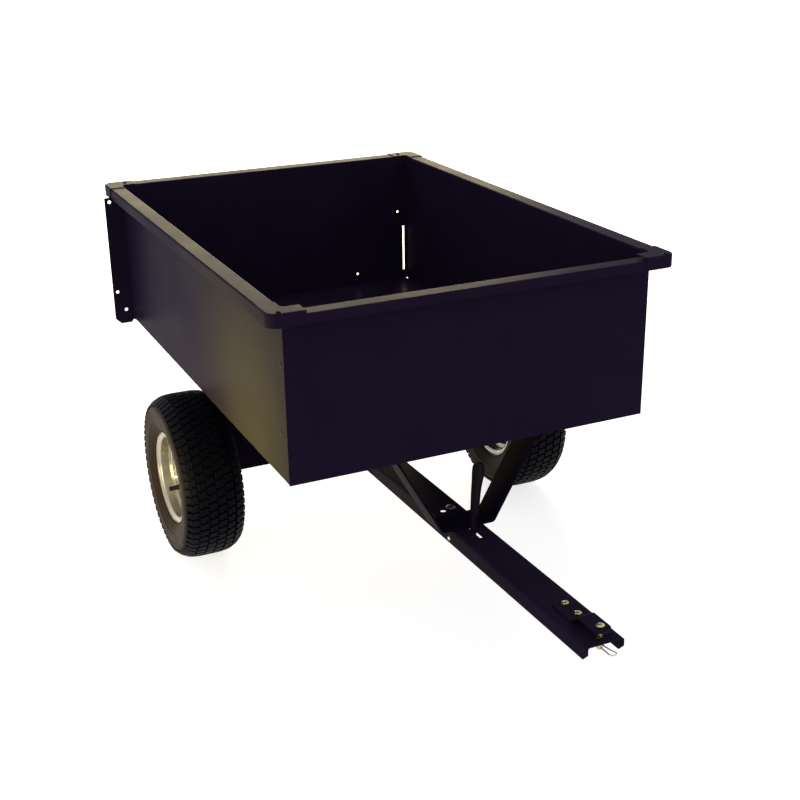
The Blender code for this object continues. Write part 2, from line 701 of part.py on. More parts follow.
def rim(word, side, cream, wheel):
    """Steel rim with a dropped well and a disc set towards the outside."""
    flange = RIM_WIDTH / 2
    seat = flange - 2 * RIM_SHEET
    half = (
        (RIM_WELL_HALF, RIM_WELL_RADIUS),
        (RIM_WELL_HALF + RIM_WELL_WALL, RIM_SEAT_RADIUS - RIM_SEAT_RISE),
        (seat, RIM_SEAT_RADIUS),
        (seat + RIM_FLANGE_LEAN, RIM_RADIUS - RIM_FLANGE_CURL),
        (flange, RIM_RADIUS),
    )
    barrel = folded([(-x, r) for x, r in reversed(half)] + list(half), -RIM_SHEET)
    count = len(barrel) // 2
    outside = barrel[:count]
    inside = barrel[count:]
    # The inside runs back from the outer flange; the disc branches off at the outer edge of the well
    branch = inside[:5]
    disc = [
        (RIM_DISC_OUT, RIM_WELL_RADIUS - RIM_SHEET - RIM_DISC_CONE),
        (RIM_DISC_OUT, HUB_RADIUS + GAP),
        (RIM_DISC_OUT - RIM_SHEET, HUB_RADIUS + GAP),
        (RIM_DISC_OUT - RIM_SHEET, RIM_WELL_RADIUS - RIM_SHEET),
    ]
    section = outside + branch + disc + inside[5:]
    section = [(side * x, r) for x, r in section]
    piece = turned(word + "_rim", section, "X", WHEEL_STEPS, cream, wheel, ring=True)
    drill(piece, "X", valve_place(), VALVE_RADIUS * 0.8 + GAP,
          *sorted((0.0, side * 2 * RIM_DISC_OUT)), wheel)
    return piece


def valve_place():
    """Place of the valve on the disc, behind and below the hub."""
    return (VALVE_RADIAL * math.cos(VALVE_BELOW), -VALVE_RADIAL * math.sin(VALVE_BELOW))


def valve_stem(word, side, rubber, wheel):
    """Snap-in rubber valve through the disc."""
    back = RIM_DISC_OUT - RIM_SHEET - GAP
    front = RIM_DISC_OUT + GAP
    profile = (
        (back - VALVE_INSIDE, VALVE_RADIUS * 0.9),
        (back, VALVE_RADIUS * 1.25),
        (back, VALVE_RADIUS * 0.8),
        (front, VALVE_RADIUS * 0.8),
        (front, VALVE_RADIUS * 1.2),
        (front + VALVE_LENGTH * 0.2, VALVE_RADIUS),
        (front + VALVE_LENGTH * 0.7, VALVE_RADIUS * 0.75),
        (front + VALVE_LENGTH * 0.7, VALVE_RADIUS * 0.9),
        (front + VALVE_LENGTH, VALVE_RADIUS * 0.85),
    )
    profile = [(side * level, radius) for level, radius in profile]
    y, z = valve_place()
    return turned(word + "_valve_stem", profile, "X", SMALL_STEPS, rubber, wheel, (0.0, y, z))


def tube(name, ends, outer, bore, steps, material, parent):
    """Tube along X."""
    profile = ((ends[0], outer), (ends[1], outer), (ends[1], bore), (ends[0], bore))
    return turned(name, profile, "X", steps, material, parent, ring=True)


def wheels(cream, rubber, steel, centre):
    """Two wheels, each on an empty at its middle on the axle."""
    for word, side in SIDES:
        wheel = empty(word + "_wheel_axis", (side * WHEEL_X, AXLE_Y, AXLE_HEIGHT))
        tyre(word, rubber, wheel)
        rim(word, side, cream, wheel)
        valve_stem(word, side, rubber, wheel)
        inner = BRACKET_OUT + 2 * GAP - WHEEL_X
        ends = sorted((side * inner, side * HUB_OUTER_REACH))
        tube(word + "_hub", ends, HUB_RADIUS, AXLE_RADIUS + GAP, AXLE_STEPS, cream, wheel)
        washer = sorted((side * (HUB_END + GAP), side * WASHER_END))
        tube(word + "_axle_washer", washer, WASHER_RADIUS, AXLE_RADIUS + GAP, AXLE_STEPS, steel,
             centre)
        nut = (
            (side * (WASHER_END + GAP), AXLE_RADIUS + GAP),
            (side * (WASHER_END + GAP), AXLE_NUT_FLATS / 2, "hex"),
            (side * NUT_END, AXLE_NUT_FLATS / 2, "hex"),
            (side * NUT_END, AXLE_RADIUS + GAP),
        )
        turned(word + "_axle_nut", nut, "X", AXLE_STEPS, steel, centre, ring=True)
        spacer = sorted((side * (DRAWBAR_WIDTH / 2 + GAP),
                         side * (BRACKET_OUT - BRACKET_WIDTH - GAP)))
        tube(word + "_axle_spacer", spacer, AXLE_RADIUS + SPACER_WALL, AXLE_RADIUS + GAP,
             AXLE_STEPS, steel, centre)


def drawbar(steel, bar):
    """Inverted channel from the axle to the hitch, with its holes, slot and chamfered front."""
    outer = DRAWBAR_WIDTH / 2
    bottom = DRAWBAR_TOP - DRAWBAR_DEPTH
    path = [(outer, bottom), (outer, DRAWBAR_TOP), (-outer, DRAWBAR_TOP), (-outer, bottom)]
    channel = prism("drawbar", folded(path, DRAWBAR_SHEET), -DRAWBAR_FRONT, DRAWBAR_REAR, "Y",
                    steel, bar)
    reach = 2 * DRAWBAR_CHAMFER
    wedge = [
        (-DRAWBAR_FRONT - reach, bottom + DRAWBAR_CHAMFER + reach),
        (-DRAWBAR_FRONT - reach, bottom - reach),
        (-DRAWBAR_FRONT + DRAWBAR_CHAMFER + reach, bottom - reach),
    ]
    tool = prism("drawbar_chamfer", wedge, -DRAWBAR_WIDTH, DRAWBAR_WIDTH, "X", None, bar)
    combine(channel, tool, "DIFFERENCE")
    across = (-DRAWBAR_WIDTH, DRAWBAR_WIDTH)
    drill(channel, "X", (0.0, 0.0), AXLE_RADIUS + GAP, *across, bar)
    drill(channel, "X", (LATCH_PIVOT_Y, LATCH_PIVOT_Z), LATCH_PIN_RADIUS + GAP, *across, bar)
    through = (WEB_BOTTOM - DRAWBAR_SHEET, DRAWBAR_TOP + DRAWBAR_SHEET)
    drill(channel, "Z", LIGHTENING_HOLE, LIGHTENING_HOLE_RADIUS, *through, bar)
    drill(channel, "Z", STOP_BOLT_PLACE, STOP_BOLT_RADIUS + GAP, *through, bar)
    drill(channel, "Z", (0.0, PIN_Y), PIN_RADIUS + GAP, *through, bar)
    for _, x, y in HITCH_BOLTS:
        drill(channel, "Z", (x, y), HITCH_BOLT_RADIUS + GAP, *through, bar)
    arm = LATCH_PIVOT_Y - LATCH_ARM_AHEAD
    slot_half = LATCH_PLATE / 2 + LATCH_SLOT_SIDE
    # The lever's tooth dips into the rear of the slot as the lever swings forward
    tooth = REST_FRONT - AXLE_BACK - LATCH_TOOTH_CLEARANCE
    slot_y = (arm - LATCH_ARM_WIDTH / 2 - LATCH_SLOT_AHEAD, tooth + LATCH_SLOT_BEHIND)
    form = box((LATCH_X - slot_half, LATCH_X + slot_half), slot_y, through)
    combine(channel, prism("latch_slot", *form, None, bar), "DIFFERENCE")
    return channel


def latch_lever(steel, pivot):
    """Flat lever: an eye on the pivot, a foot forward, and an arm up through the slot."""
    front = -LATCH_ARM_AHEAD - LATCH_ARM_WIDTH / 2
    back = -LATCH_ARM_AHEAD + LATCH_ARM_WIDTH / 2
    knee = LATCH_HEIGHT * 0.62
    head = LATCH_HEIGHT * 0.86
    low_head = head - LATCH_HEAD_HALF
    high_head = head + LATCH_HEAD_HALF
    web = DRAWBAR_TOP - LATCH_PIVOT_Z
    rest_front = REST_FRONT - AXLE_BACK - LATCH_PIVOT_Y - LATCH_TOOTH_CLEARANCE
    tooth = web + GAP + REST_PLATE / 2
    tip = -LATCH_ARM_AHEAD - LATCH_LEAN
    # Only the arm above the slot is wide: lower down it would meet the web as the lever swings
    wide = front - LATCH_ARM_SPREAD
    outline = arc((0.0, 0.0), LATCH_EYE, -90, 90, 8)
    outline += [
        (back, LATCH_EYE),
        (back, tooth - REST_PLATE / 2),
        (rest_front, tooth - REST_PLATE / 2),
        (rest_front, tooth + REST_PLATE / 2),
        (back, tooth + 2 * REST_PLATE),
        (back - LATCH_KNEE_LEAN, knee),
        (back - LATCH_HEAD_LEAN + LATCH_HEAD_BULGE, low_head),
        (back - LATCH_HEAD_LEAN + LATCH_HEAD_BULGE, high_head),
        (tip + LATCH_TIP, LATCH_HEIGHT),
        (tip, LATCH_HEIGHT),
        (wide - LATCH_HEAD_LEAN - LATCH_HEAD_BULGE, high_head),
        (wide - LATCH_HEAD_LEAN - LATCH_HEAD_BULGE / 3, low_head),
        (wide - LATCH_KNEE_LEAN, knee),
        (wide, LATCH_SHOULDER),
        (front, LATCH_WAIST),
        (front, LATCH_EYE),
        (front, -LATCH_EYE * 0.4),
        (front + LATCH_EYE * 0.6, -LATCH_EYE),
    ]
    half = LATCH_PLATE / 2
    lever = prism("latch_lever", outline, -half, half, "X", steel, pivot)
    drill(lever, "X", (0.0, 0.0), LATCH_PIN_RADIUS + GAP, -LATCH_PLATE, LATCH_PLATE, pivot)
    return lever


def latch_pin(bright, bar):
    """Pivot pin across the drawbar, headed at both ends."""
    outer = DRAWBAR_WIDTH / 2 + GAP
    profile = (
        (-outer - LATCH_PIN_HEAD, LATCH_PIN_HEAD_RADIUS * 0.7),
        (-outer, LATCH_PIN_HEAD_RADIUS),
        (-outer, LATCH_PIN_RADIUS),
        (outer, LATCH_PIN_RADIUS),
        (outer, LATCH_PIN_HEAD_RADIUS),
        (outer + LATCH_PIN_HEAD, LATCH_PIN_HEAD_RADIUS * 0.7),
    )
    place = (0.0, LATCH_PIVOT_Y, LATCH_PIVOT_Z)
    return turned("latch_pivot_pin", profile, "X", SMALL_STEPS, bright, bar, place)


def hitch_strap(steel, bar):
    """Strap bolted on the web, which steps up and runs on over the tractor's hitch plate."""
    low = DRAWBAR_TOP + GAP
    high = DRAWBAR_TOP + STRAP_RISE - STRAP_PLATE
    path = [(-STRAP_FRONT, high), (-STRAP_STEP_FRONT, high), (-STRAP_STEP_REAR, low)]
    path.append((-STRAP_REAR, low))
    half = STRAP_HALF_WIDTH
    strap = prism("hitch_strap", folded(path, STRAP_PLATE), -half, half, "X", steel, bar)
    # The front end is round: everything outside the round end's plan is cut away
    centre = -STRAP_FRONT + half
    far = STRAP_FRONT + half
    cutter = [(half * 2, centre), (half * 2, -far), (-half * 2, -far), (-half * 2, centre)]
    cutter += arc((0.0, centre), half, 180, 360, 12)
    tool = prism("strap_end", cutter, high - STRAP_PLATE, high + 2 * STRAP_PLATE, "Z", None, bar)
    combine(strap, tool, "DIFFERENCE")
    for _, x, y in HITCH_BOLTS:
        drill(strap, "Z", (x, y), HITCH_BOLT_RADIUS + GAP, low - STRAP_PLATE,
              low + 2 * STRAP_PLATE, bar)
    drill(strap, "Z", (0.0, PIN_Y), PIN_RADIUS + GAP, high - STRAP_PLATE, high + 2 * STRAP_PLATE, bar)
    return strap


def hitch_fasteners(zinc, bright, bar):
    """Hexagon bolts that hold the strap, their nuts inside the channel, and the stop bolt."""
    seat = DRAWBAR_TOP + GAP + STRAP_PLATE + GAP
    nut_top = WEB_BOTTOM - GAP
    tail = nut_top - NUT_HEIGHT - BOLT_TAIL
    for word, x, y in HITCH_BOLTS:
        profile = (
            (seat + HITCH_BOLT_HEAD, HITCH_BOLT_FLATS / 2, "hex"),
            (seat, HITCH_BOLT_FLATS / 2, "hex"),
            (seat, HITCH_BOLT_RADIUS),
            (tail, HITCH_BOLT_RADIUS),
        )
        turned(word + "_hitch_bolt", profile, "Z", SMALL_STEPS, zinc, bar, (x, y, 0.0))
        hex_nut(word + "_hitch_nut", HITCH_BOLT_RADIUS + GAP, NUT_FLATS, NUT_HEIGHT, nut_top,
                (x, y), zinc, bar, (0.0, 0.0, 0.0))
    tail = nut_top - STOP_NUT_HEIGHT - BOLT_TAIL
    round_bolt("stop_bolt", STOP_BOLT_RADIUS, STOP_BOLT_HEAD_RADIUS, STOP_BOLT_HEAD,
               DRAWBAR_TOP + GAP, tail, STOP_BOLT_PLACE, bright, bar, (0.0, 0.0, 0.0))
    hex_nut("stop_nut", STOP_BOLT_RADIUS + GAP, STOP_NUT_FLATS, STOP_NUT_HEIGHT, nut_top,
            STOP_BOLT_PLACE, zinc, bar, (0.0, 0.0, 0.0))


def hitch_pin(zinc, pin):
    """Headed drop pin with a cross hole for its clip."""
    seat = DRAWBAR_TOP + STRAP_RISE + GAP
    tail = WEB_BOTTOM - PIN_TAIL
    profile = (
        (seat + PIN_HEAD, PIN_HEAD_RADIUS * 0.85),
        (seat + PIN_HEAD * 0.6, PIN_HEAD_RADIUS),
        (seat, PIN_HEAD_RADIUS),
        (seat, PIN_RADIUS),
        (tail + PIN_POINT, PIN_RADIUS),
        (tail, PIN_RADIUS * 0.75),
    )
    piece = turned("hitch_pin", profile, "Z", SMALL_STEPS, zinc, pin)
    drill(piece, "Y", (0.0, CLIP_Z), CLIP_WIRE / 2 + CLIP_HOLE_CLEARANCE, -PIN_HEAD_RADIUS,
          PIN_HEAD_RADIUS, pin)
    return piece


def hairpin_clip(wire_steel, clip):
    """Sprung wire clip: a straight leg through the pin, a bow in front, a leg round the pin."""
    radius = CLIP_WIRE / 2
    nearest = PIN_RADIUS + GAP + radius + GAP
    route = [(0.0, CLIP_TAIL), (0.0, CLIP_TAIL / 2), (0.0, -CLIP_LEG / 2)]
    route += arc((CLIP_BOW, -CLIP_LEG), CLIP_BOW, 180, 360, 10)
    spread = 2 * CLIP_BOW - nearest
    for step in range(1, 9):
        along = 1 - step / 6
        route.append((nearest + spread * along * along, -CLIP_LEG * along))
    curve = bpy.data.curves.new("hairpin_clip", "CURVE")
    curve.dimensions = "3D"
    curve.bevel_depth = radius
    curve.bevel_resolution = 2
    curve.use_fill_caps = True
    spline = curve.splines.new("POLY")
    spline.points.add(len(route) - 1)
    for point, spot in zip(spline.points, route):
        point.co = (spot[0], spot[1], 0.0, 1.0)
    curve.materials.append(wire_steel)
    piece = bpy.data.objects.new("hairpin_clip", curve)
    piece.parent = clip
    bpy.context.collection.objects.link(piece)
    return piece


def build():
    for leftover in list(bpy.data.objects):
        bpy.data.objects.remove(leftover)
    black = finish("satin_black_paint", (0.012, 0.009, 0.014), 0.38, 0.0)
    cream = finish("cream_paint", (0.58, 0.54, 0.46), 0.35, 0.0)
    rubber = finish("black_rubber", (0.010, 0.010, 0.012), 0.75, 0.0)
    zinc = finish("yellow_zinc", (0.62, 0.52, 0.24), 0.35, 1.0)
    bright = finish("bright_steel", (0.55, 0.55, 0.56), 0.35, 1.0)

    hinge = empty("bed_hinge", (0.0, AXLE_Y, AXLE_HEIGHT))
    corner = (0.0, -AXLE_BACK, AXLE_DROP)
    front_panel(black, hinge, corner)
    floor_panel(black, hinge, corner)
    tailgate_sill(black, hinge, corner)
    bed_rest(black, hinge, corner)
    floor_fasteners(bright, hinge, corner)
    front = -STRIP_WIDTH - GAP - SHEET
    for word, side in SIDES:
        side_panel(word, side, black, hinge, corner)
        axle_bracket(word, side, black, hinge, corner)
        corner_rivets(word, side, bright, hinge, corner)
        cap = corner_cap("front_" + word + "_corner_cap", side, front, 0.0, black, hinge, corner)
        spot = (side * cap_screw_x(), -cap_screw_y())
        drill(cap, "Z", spot, SCREW_RADIUS + GAP, CAP_BOTTOM - SHEET, CAP_TOP + SHEET, hinge, corner)
        cap_screw("front_" + word + "_cap_screw", spot, black, hinge, corner)

    gate = empty("tailgate_slide", corner, hinge)
    tailgate(black, gate, (0.0, 0.0, 0.0))
    rear = TAILGATE_FRONT + TAILGATE_STRIP + GAP + SHEET
    for word, side in SIDES:
        cap = corner_cap("rear_" + word + "_corner_cap", side, rear, TAILGATE_FRONT, black, gate,
                         (0.0, 0.0, 0.0))
        spot = (side * tailgate_screw_x(), tailgate_screw_y())
        drill(cap, "Z", spot, SCREW_RADIUS + GAP, CAP_BOTTOM - SHEET, CAP_TOP + SHEET, gate)
        cap_screw("rear_" + word + "_cap_screw", spot, black, gate, (0.0, 0.0, 0.0))

    centre = empty("axle_centre", (0.0, AXLE_Y, AXLE_HEIGHT))
    end = NUT_END + AXLE_END
    turned("axle", ((-end, AXLE_RADIUS), (end, AXLE_RADIUS)), "X", AXLE_STEPS, bright, centre)
    wheels(cream, rubber, zinc, centre)

    bar = empty("drawbar_frame", (0.0, AXLE_Y, AXLE_HEIGHT), turn=-DRAWBAR_SLOPE)
    drawbar(black, bar)
    hitch_strap(black, bar)
    hitch_fasteners(zinc, bright, bar)
    latch_pin(bright, bar)
    latch_lever(black, empty("latch_pivot", (LATCH_X, LATCH_PIVOT_Y, LATCH_PIVOT_Z), bar))
    pin = empty("hitch_pin_slide", (0.0, PIN_Y, 0.0), bar)
    hitch_pin(zinc, pin)
    hairpin_clip(bright, empty("clip_slide", (0.0, 0.0, CLIP_Z), pin))


build()
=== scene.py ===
"""Garden tractor trailer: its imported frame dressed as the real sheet-steel trailer."""
import math

import bmesh
import bpy
from mathutils import Matrix, Vector


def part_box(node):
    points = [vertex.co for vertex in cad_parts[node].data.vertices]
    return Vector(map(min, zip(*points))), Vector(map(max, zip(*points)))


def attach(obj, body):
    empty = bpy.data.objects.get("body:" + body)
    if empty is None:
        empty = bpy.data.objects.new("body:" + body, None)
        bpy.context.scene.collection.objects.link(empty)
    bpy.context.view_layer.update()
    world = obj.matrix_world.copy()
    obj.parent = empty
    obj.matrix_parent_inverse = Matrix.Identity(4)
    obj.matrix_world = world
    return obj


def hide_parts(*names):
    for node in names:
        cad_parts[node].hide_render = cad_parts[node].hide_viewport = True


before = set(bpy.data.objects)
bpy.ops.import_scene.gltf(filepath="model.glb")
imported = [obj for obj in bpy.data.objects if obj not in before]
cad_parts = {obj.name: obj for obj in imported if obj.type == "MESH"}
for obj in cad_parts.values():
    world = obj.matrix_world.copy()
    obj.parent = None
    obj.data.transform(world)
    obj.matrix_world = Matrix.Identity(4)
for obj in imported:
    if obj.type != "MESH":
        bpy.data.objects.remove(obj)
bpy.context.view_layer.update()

# Camera
# It stands a step to the left of the drawbar at head height, as the photographer did, and its
# lens gives the photograph's field of view on a square frame 800 pixels wide.
FOCAL_PIXELS = 1297.0
FRAME_PIXELS = 800.0
SENSOR = 36.0


def placed(name, data):
    """Object with its data, put in the scene."""
    thing = bpy.data.objects.new(name, data)
    bpy.context.collection.objects.link(thing)
    return thing


lens = bpy.data.cameras.new("camera")
lens.sensor_width = SENSOR
lens.lens = SENSOR * FOCAL_PIXELS / FRAME_PIXELS
camera = placed("camera", lens)
camera.location = (-1.2092, -2.5885, 1.5465)
camera.rotation_euler = [math.radians(angle) for angle in (68.311, 0.775, -25.275)]
bpy.context.scene.camera = camera
bpy.context.scene.view_settings.view_transform = "Standard"


# Floor and light
# A plain pale studio floor that runs out of view and a white surround. A large soft lamp behind is
# mirrored along the bed's top strips; a dim one and two narrow ones light the near side.
def linear(code):
    """Linear colour of an sRGB hex value."""
    shares = [int(code[start:start + 2], 16) / 255 for start in (1, 3, 5)]
    return [share / 12.92 if share <= 0.04045 else ((share + 0.055) / 1.055) ** 2.4
            for share in shares] + [1.0]


def add(tree, kind, inputs=None, **settings):
    """Node with its settings; an input is given a value or the socket that feeds it."""
    node = tree.nodes.new(kind)
    for key, value in settings.items():
        setattr(node, key, value)
    for key, value in (inputs or {}).items():
        if isinstance(value, bpy.types.NodeSocket):
            tree.links.new(value, node.inputs[key])
        else:
            node.inputs[key].default_value = value
    return node


def seen_directly(tree):
    """1 for a ray from the camera, a mirror or glass, 0 for the light that falls on the object."""
    path = add(tree, "ShaderNodeLightPath").outputs
    seen = path["Is Camera Ray"]
    for kind in ("Is Glossy Ray", "Is Transmission Ray"):
        seen = add(tree, "ShaderNodeMath", {0: seen, 1: path[kind]}, operation="MAXIMUM").outputs[0]
    return seen


def finish_of(name, settings):
    """Material with its tree and its shader, whose inputs are given the settings."""
    finish = bpy.data.materials.new(name)
    finish.use_nodes = True
    shader = finish.node_tree.nodes["Principled BSDF"]
    for key, value in settings.items():
        shader.inputs[key].default_value = value
    return finish, finish.node_tree, shader


# Strength of the white surround as light on the object
AMBIENT = 0.40
world = bpy.data.worlds.new("studio")
world.use_nodes = True
bpy.context.scene.world = world
tree = world.node_tree
background = tree.nodes["Background"]
background.inputs["Color"].default_value = linear("#ffffff")
strength = add(tree, "ShaderNodeMapRange", {"Value": seen_directly(tree), "To Min": AMBIENT,
                                            "To Max": 1.0})
tree.links.new(strength.outputs[0], background.inputs["Strength"])

FLOOR_REACH = 40.0
ground = bpy.data.meshes.new("floor")
ground.from_pydata([(x * FLOOR_REACH, y * FLOOR_REACH, 0.0)
                    for x, y in ((-1, -1), (1, -1), (1, 1), (-1, 1))], [], [(0, 1, 2, 3)])
# Matt studio paper, with as much light of its own where it is seen as makes it white
FLOOR_LIFT = 0.76
paper, tree, shader = finish_of("studio_paper", {
    "Base Color": linear("#eff1fa"), "Roughness": 1.0, "Specular IOR Level": 0.0,
    "Emission Color": linear("#ffffff")})
lift = add(tree, "ShaderNodeMapRange", {"Value": seen_directly(tree), "To Min": 0.0,
                                        "To Max": FLOOR_LIFT})
tree.links.new(lift.outputs[0], shader.inputs["Emission Strength"])
ground.materials.append(paper)
floor = placed("floor", ground)


def soft_lamp(name, place, target, size, power, colour, spread=180.0):
    """Soft square lamp that faces a point; the spread is the angle of its beam in degrees."""
    light = bpy.data.lights.new(name, "AREA")
    light.size = size
    light.energy = power
    light.spread = math.radians(spread)
    light.color = linear(colour)[:3]
    lamp = placed(name, light)
    lamp.location = place
    lamp.rotation_euler = (Vector(target) - Vector(place)).to_track_quat("-Z", "Y").to_euler()


# Place, target, size in metres, power in watts and colour, and the beam of the two narrow ones
soft_lamp("key", (-2.1, -0.2, 1.7), (-0.5, 0.2, 0.2), 1.2, 1.0, "#ffe9c6")
soft_lamp("low", (-0.90, -0.13, 0.30), (-0.42, -0.16, 0.54), 0.3, 3.3, "#e2fa48", 76.0)
soft_lamp("wheel", (-1.20, 0.10, 0.15), (-0.50, 0.27, 0.20), 0.3, 1.1, "#ffeaa0", 60.0)
soft_lamp("rim", (1.5, 4.6, 2.1), (0.0, 0.2, 0.6), 2.8, 225.0, "#fceebb")

# Bed sheets
# Front wall, side walls and floor: cold-rolled steel sheet 1.5 mm thick, cut flat, folded on a
# press brake and sprayed with satin black paint. The top edges are folded out into strips.
SHEET = 0.0015
FOLD = 0.0035
HALF_WIDTH = 0.4215
BED_DEPTH = 0.374
STRIP_WIDTH = 0.0385
STRIP_LIP = 0.027
# Pieces that touch are 0.3 mm apart, as in the frame
GAP = 0.0003
front_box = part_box("front_panel")
in_bed = Matrix.Translation((0.0, front_box[0][1] + STRIP_WIDTH, front_box[0][2]))


def mottled(name, settings, clouds, colours, gloss, grain, bumps, peeled=False):
    """Finish whose colour and roughness follow clouds, with a grain's small bumps. Clouds and grain
    are scale and detail, where scale 1000 is about 1 mm; bumps are strength and depth. On a peeled
    coat the roughness follows both."""
    finish, tree, shader = finish_of(name, settings)
    place = add(tree, "ShaderNodeTexCoord").outputs["Object"]
    cloud, fine = [add(tree, "ShaderNodeTexNoise", {"Vector": place, "Scale": scale,
                                                    "Detail": detail}).outputs["Fac"]
                   for scale, detail in (clouds, grain)]
    dark, light = [linear(colour) for colour in colours]
    tint = add(tree, "ShaderNodeMix", {0: cloud, 6: dark, 7: light}, data_type="RGBA").outputs[2]
    tree.links.new(tint, shader.inputs["Base Color"])
    # Clouds mostly keep to the range from 0.3 to 0.7, and clouds and grain together to 0.7 to 1.3
    worn = {"Value": cloud, "From Min": 0.3, "From Max": 0.7}
    if peeled:
        both = add(tree, "ShaderNodeMath", {0: cloud, 1: fine}, operation="ADD").outputs[0]
        worn = {"Value": both, "From Min": 0.7, "From Max": 1.3}
    dull = add(tree, "ShaderNodeMapRange", {**worn, "To Min": gloss[0], "To Max": gloss[1]})
    tree.links.new(dull.outputs[0], shader.inputs["Roughness"])
    bump = add(tree, "ShaderNodeBump", {"Height": fine, "Strength": bumps[0], "Distance": bumps[1]})
    tree.links.new(bump.outputs[0], shader.inputs["Normal"])
    return finish, cloud, tint


def black_paint(name, light, dark, sheen):
    """Sprayed black paint: nearly black with a violet cast, a low broad sheen and the fine
    orange peel of a sprayed coat."""
    # Clouds a hand wide: the coat lies a little thicker here and there. Orange peel dimples are
    # about 1 mm; they are drawn at 2.5 mm so that they show
    return mottled(name, {"IOR": 1.5, "Specular IOR Level": sheen, "Specular Tint": linear("#ffe7a8")},
                   clouds=(9.0, 3.0), colours=(dark, light), gloss=(0.30, 0.42),
                   grain=(400.0, 2.0), bumps=(0.25, 0.0003), peeled=True)[0]


black = black_paint("satin_black_paint_on_sheet", "#302540", "#261d34", 0.004)


def fillet(path, radius, steps=5):
    """Path with its corners turned into arcs."""
    points = [Vector(point) for point in path]
    line = [points[0]]
    for before, corner, after in zip(points, points[1:], points[2:]):
        back = (before - corner).normalized()
        ahead = (after - corner).normalized()
        half = back.angle(ahead) / 2
        start = corner + back * (radius / math.tan(half))
        centre = corner + (back + ahead).normalized() * (radius / math.sin(half))
        arm = start - centre
        sweep = math.pi - 2 * half
        if back.x * ahead.y - back.y * ahead.x > 0.0:
            sweep = -sweep
        for step in range(steps + 1):
            angle = sweep * step / steps
            line.append(centre + Vector((arm.x * math.cos(angle) - arm.y * math.sin(angle),
                                         arm.x * math.sin(angle) + arm.y * math.cos(angle))))
    line.append(points[-1])
    return line


def folded(path, thickness, radius):
    """Outline of a sheet folded along its middle line."""
    line = fillet(path, radius)
    normals = []
    for start, end in zip(line, line[1:]):
        run = (end - start).normalized()
        normals.append(Vector((-run.y, run.x)))
    faces = ([], [])
    for index, point in enumerate(line):
        before = normals[max(index - 1, 0)]
        after = normals[min(index, len(normals) - 1)]
        mitre = (before + after) * (thickness / 2 / (before + after).dot(after))
        faces[0].append(point + mitre)
        faces[1].append(point - mitre)
    return faces[0] + faces[1][::-1]


def point_on(axis, across, level):
    """Point given by its place in the plane across an axis and its level along that axis."""
    if axis == "X":
        return (level, across[0], across[1])
    if axis == "Y":
        return (across[0], level, across[1])
    return (across[0], across[1], level)


def swept(rings, closed=False):
    """Skin over rings of points, capped at both ends unless it closes on itself."""
    shape = bmesh.new()
    loops = [[shape.verts.new(point) for point in ring] for ring in rings]
    pairs = list(zip(loops, loops[1:]))
    if closed:
        pairs.append((loops[-1], loops[0]))
    else:
        shape.faces.new(loops[0])
        shape.faces.new(loops[-1])
    for first, second in pairs:
        for index in range(len(first)):
            after = (index + 1) % len(first)
            shape.faces.new((first[index], first[after], second[after], second[index]))
    bmesh.ops.recalc_face_normals(shape, faces=shape.faces)
    return shape


def run(outline, axis, start, end):
    """Outline run along an axis."""
    return swept([[point_on(axis, point, level) for point in outline] for level in (start, end)])


def block(x, y, z):
    """Box between two places on each axis."""
    return run([(x[0], y[0]), (x[1], y[0]), (x[1], y[1]), (x[0], y[1])], "Z", z[0], z[1])


def peg(axis, centre, radius, start, end, steps=32):
    """Round bar, mostly to drill with."""
    outline = []
    for step in range(steps):
        angle = math.tau * step / steps
        outline.append((centre[0] + radius * math.cos(angle), centre[1] + radius * math.sin(angle)))
    return run(outline, axis, start, end)


def cut(shape):
    """Change that takes a shape away from a piece."""
    return "DIFFERENCE", shape


def hole(axis, centre, radius, start, end):
    """Change that drills a piece."""
    return cut(peg(axis, centre, radius, start, end))


def settled(piece):
    """Mesh of an object as its modifiers leave it."""
    looked_at = piece.evaluated_get(bpy.context.evaluated_depsgraph_get())
    return bpy.data.meshes.new_from_object(looked_at)


def made(name, shape, changes=(), place=Matrix()):
    """Object from a shape, with other shapes joined to it or cut from it."""
    mesh = bpy.data.meshes.new(name)
    shape.to_mesh(mesh)
    shape.free()
    piece = placed(name, mesh)
    tools = []
    for operation, tool_shape in changes:
        tool = made(name + "_tool", tool_shape)
        change = piece.modifiers.new("change", "BOOLEAN")
        change.operation = operation
        change.object = tool
        change.solver = "EXACT"
        tools.append(tool)
    if tools:
        mesh = settled(piece)
        piece.modifiers.clear()
        piece.data = mesh
        for tool in tools:
            bpy.data.objects.remove(tool)
    mesh.transform(place)
    mesh.name = name
    return piece


SHARP_ANGLE = math.radians(32)


def dress(piece, body, material, nodes, edge=0.0):
    piece.data.materials.clear()
    piece.data.materials.append(material)
    piece.data.shade_smooth()
    piece.data.set_sharp_from_angle(angle=SHARP_ANGLE)
    if edge:
        soft = piece.modifiers.new("edges", "BEVEL")
        soft.width = edge
        soft.segments = 2
        soft.limit_method = "ANGLE"
        soft.angle_limit = math.radians(38)
        soft.use_clamp_overlap = False
        even = piece.modifiers.new("shading", "WEIGHTED_NORMAL")
        even.keep_sharp = True
    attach(piece, body)
    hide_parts(*nodes)


SHEET_EDGE = 0.0003
SIDES = (("left", -1), ("right", 1))
MIDDLE = SHEET / 2
STRIP_LEVEL = BED_DEPTH - MIDDLE
FRONT_DROP = 0.0063
FRONT_LEVEL = STRIP_LEVEL - FRONT_DROP
STRIP_END = HALF_WIDTH + 0.0145
LIP_BOTTOM = BED_DEPTH - STRIP_LIP
TAB = 0.045
TAB_BOTTOM = 0.0286
RIVET_HOLE = 0.0033
RIVETS = (("upper", 0.018, 0.254), ("lower", 0.031, 0.103))


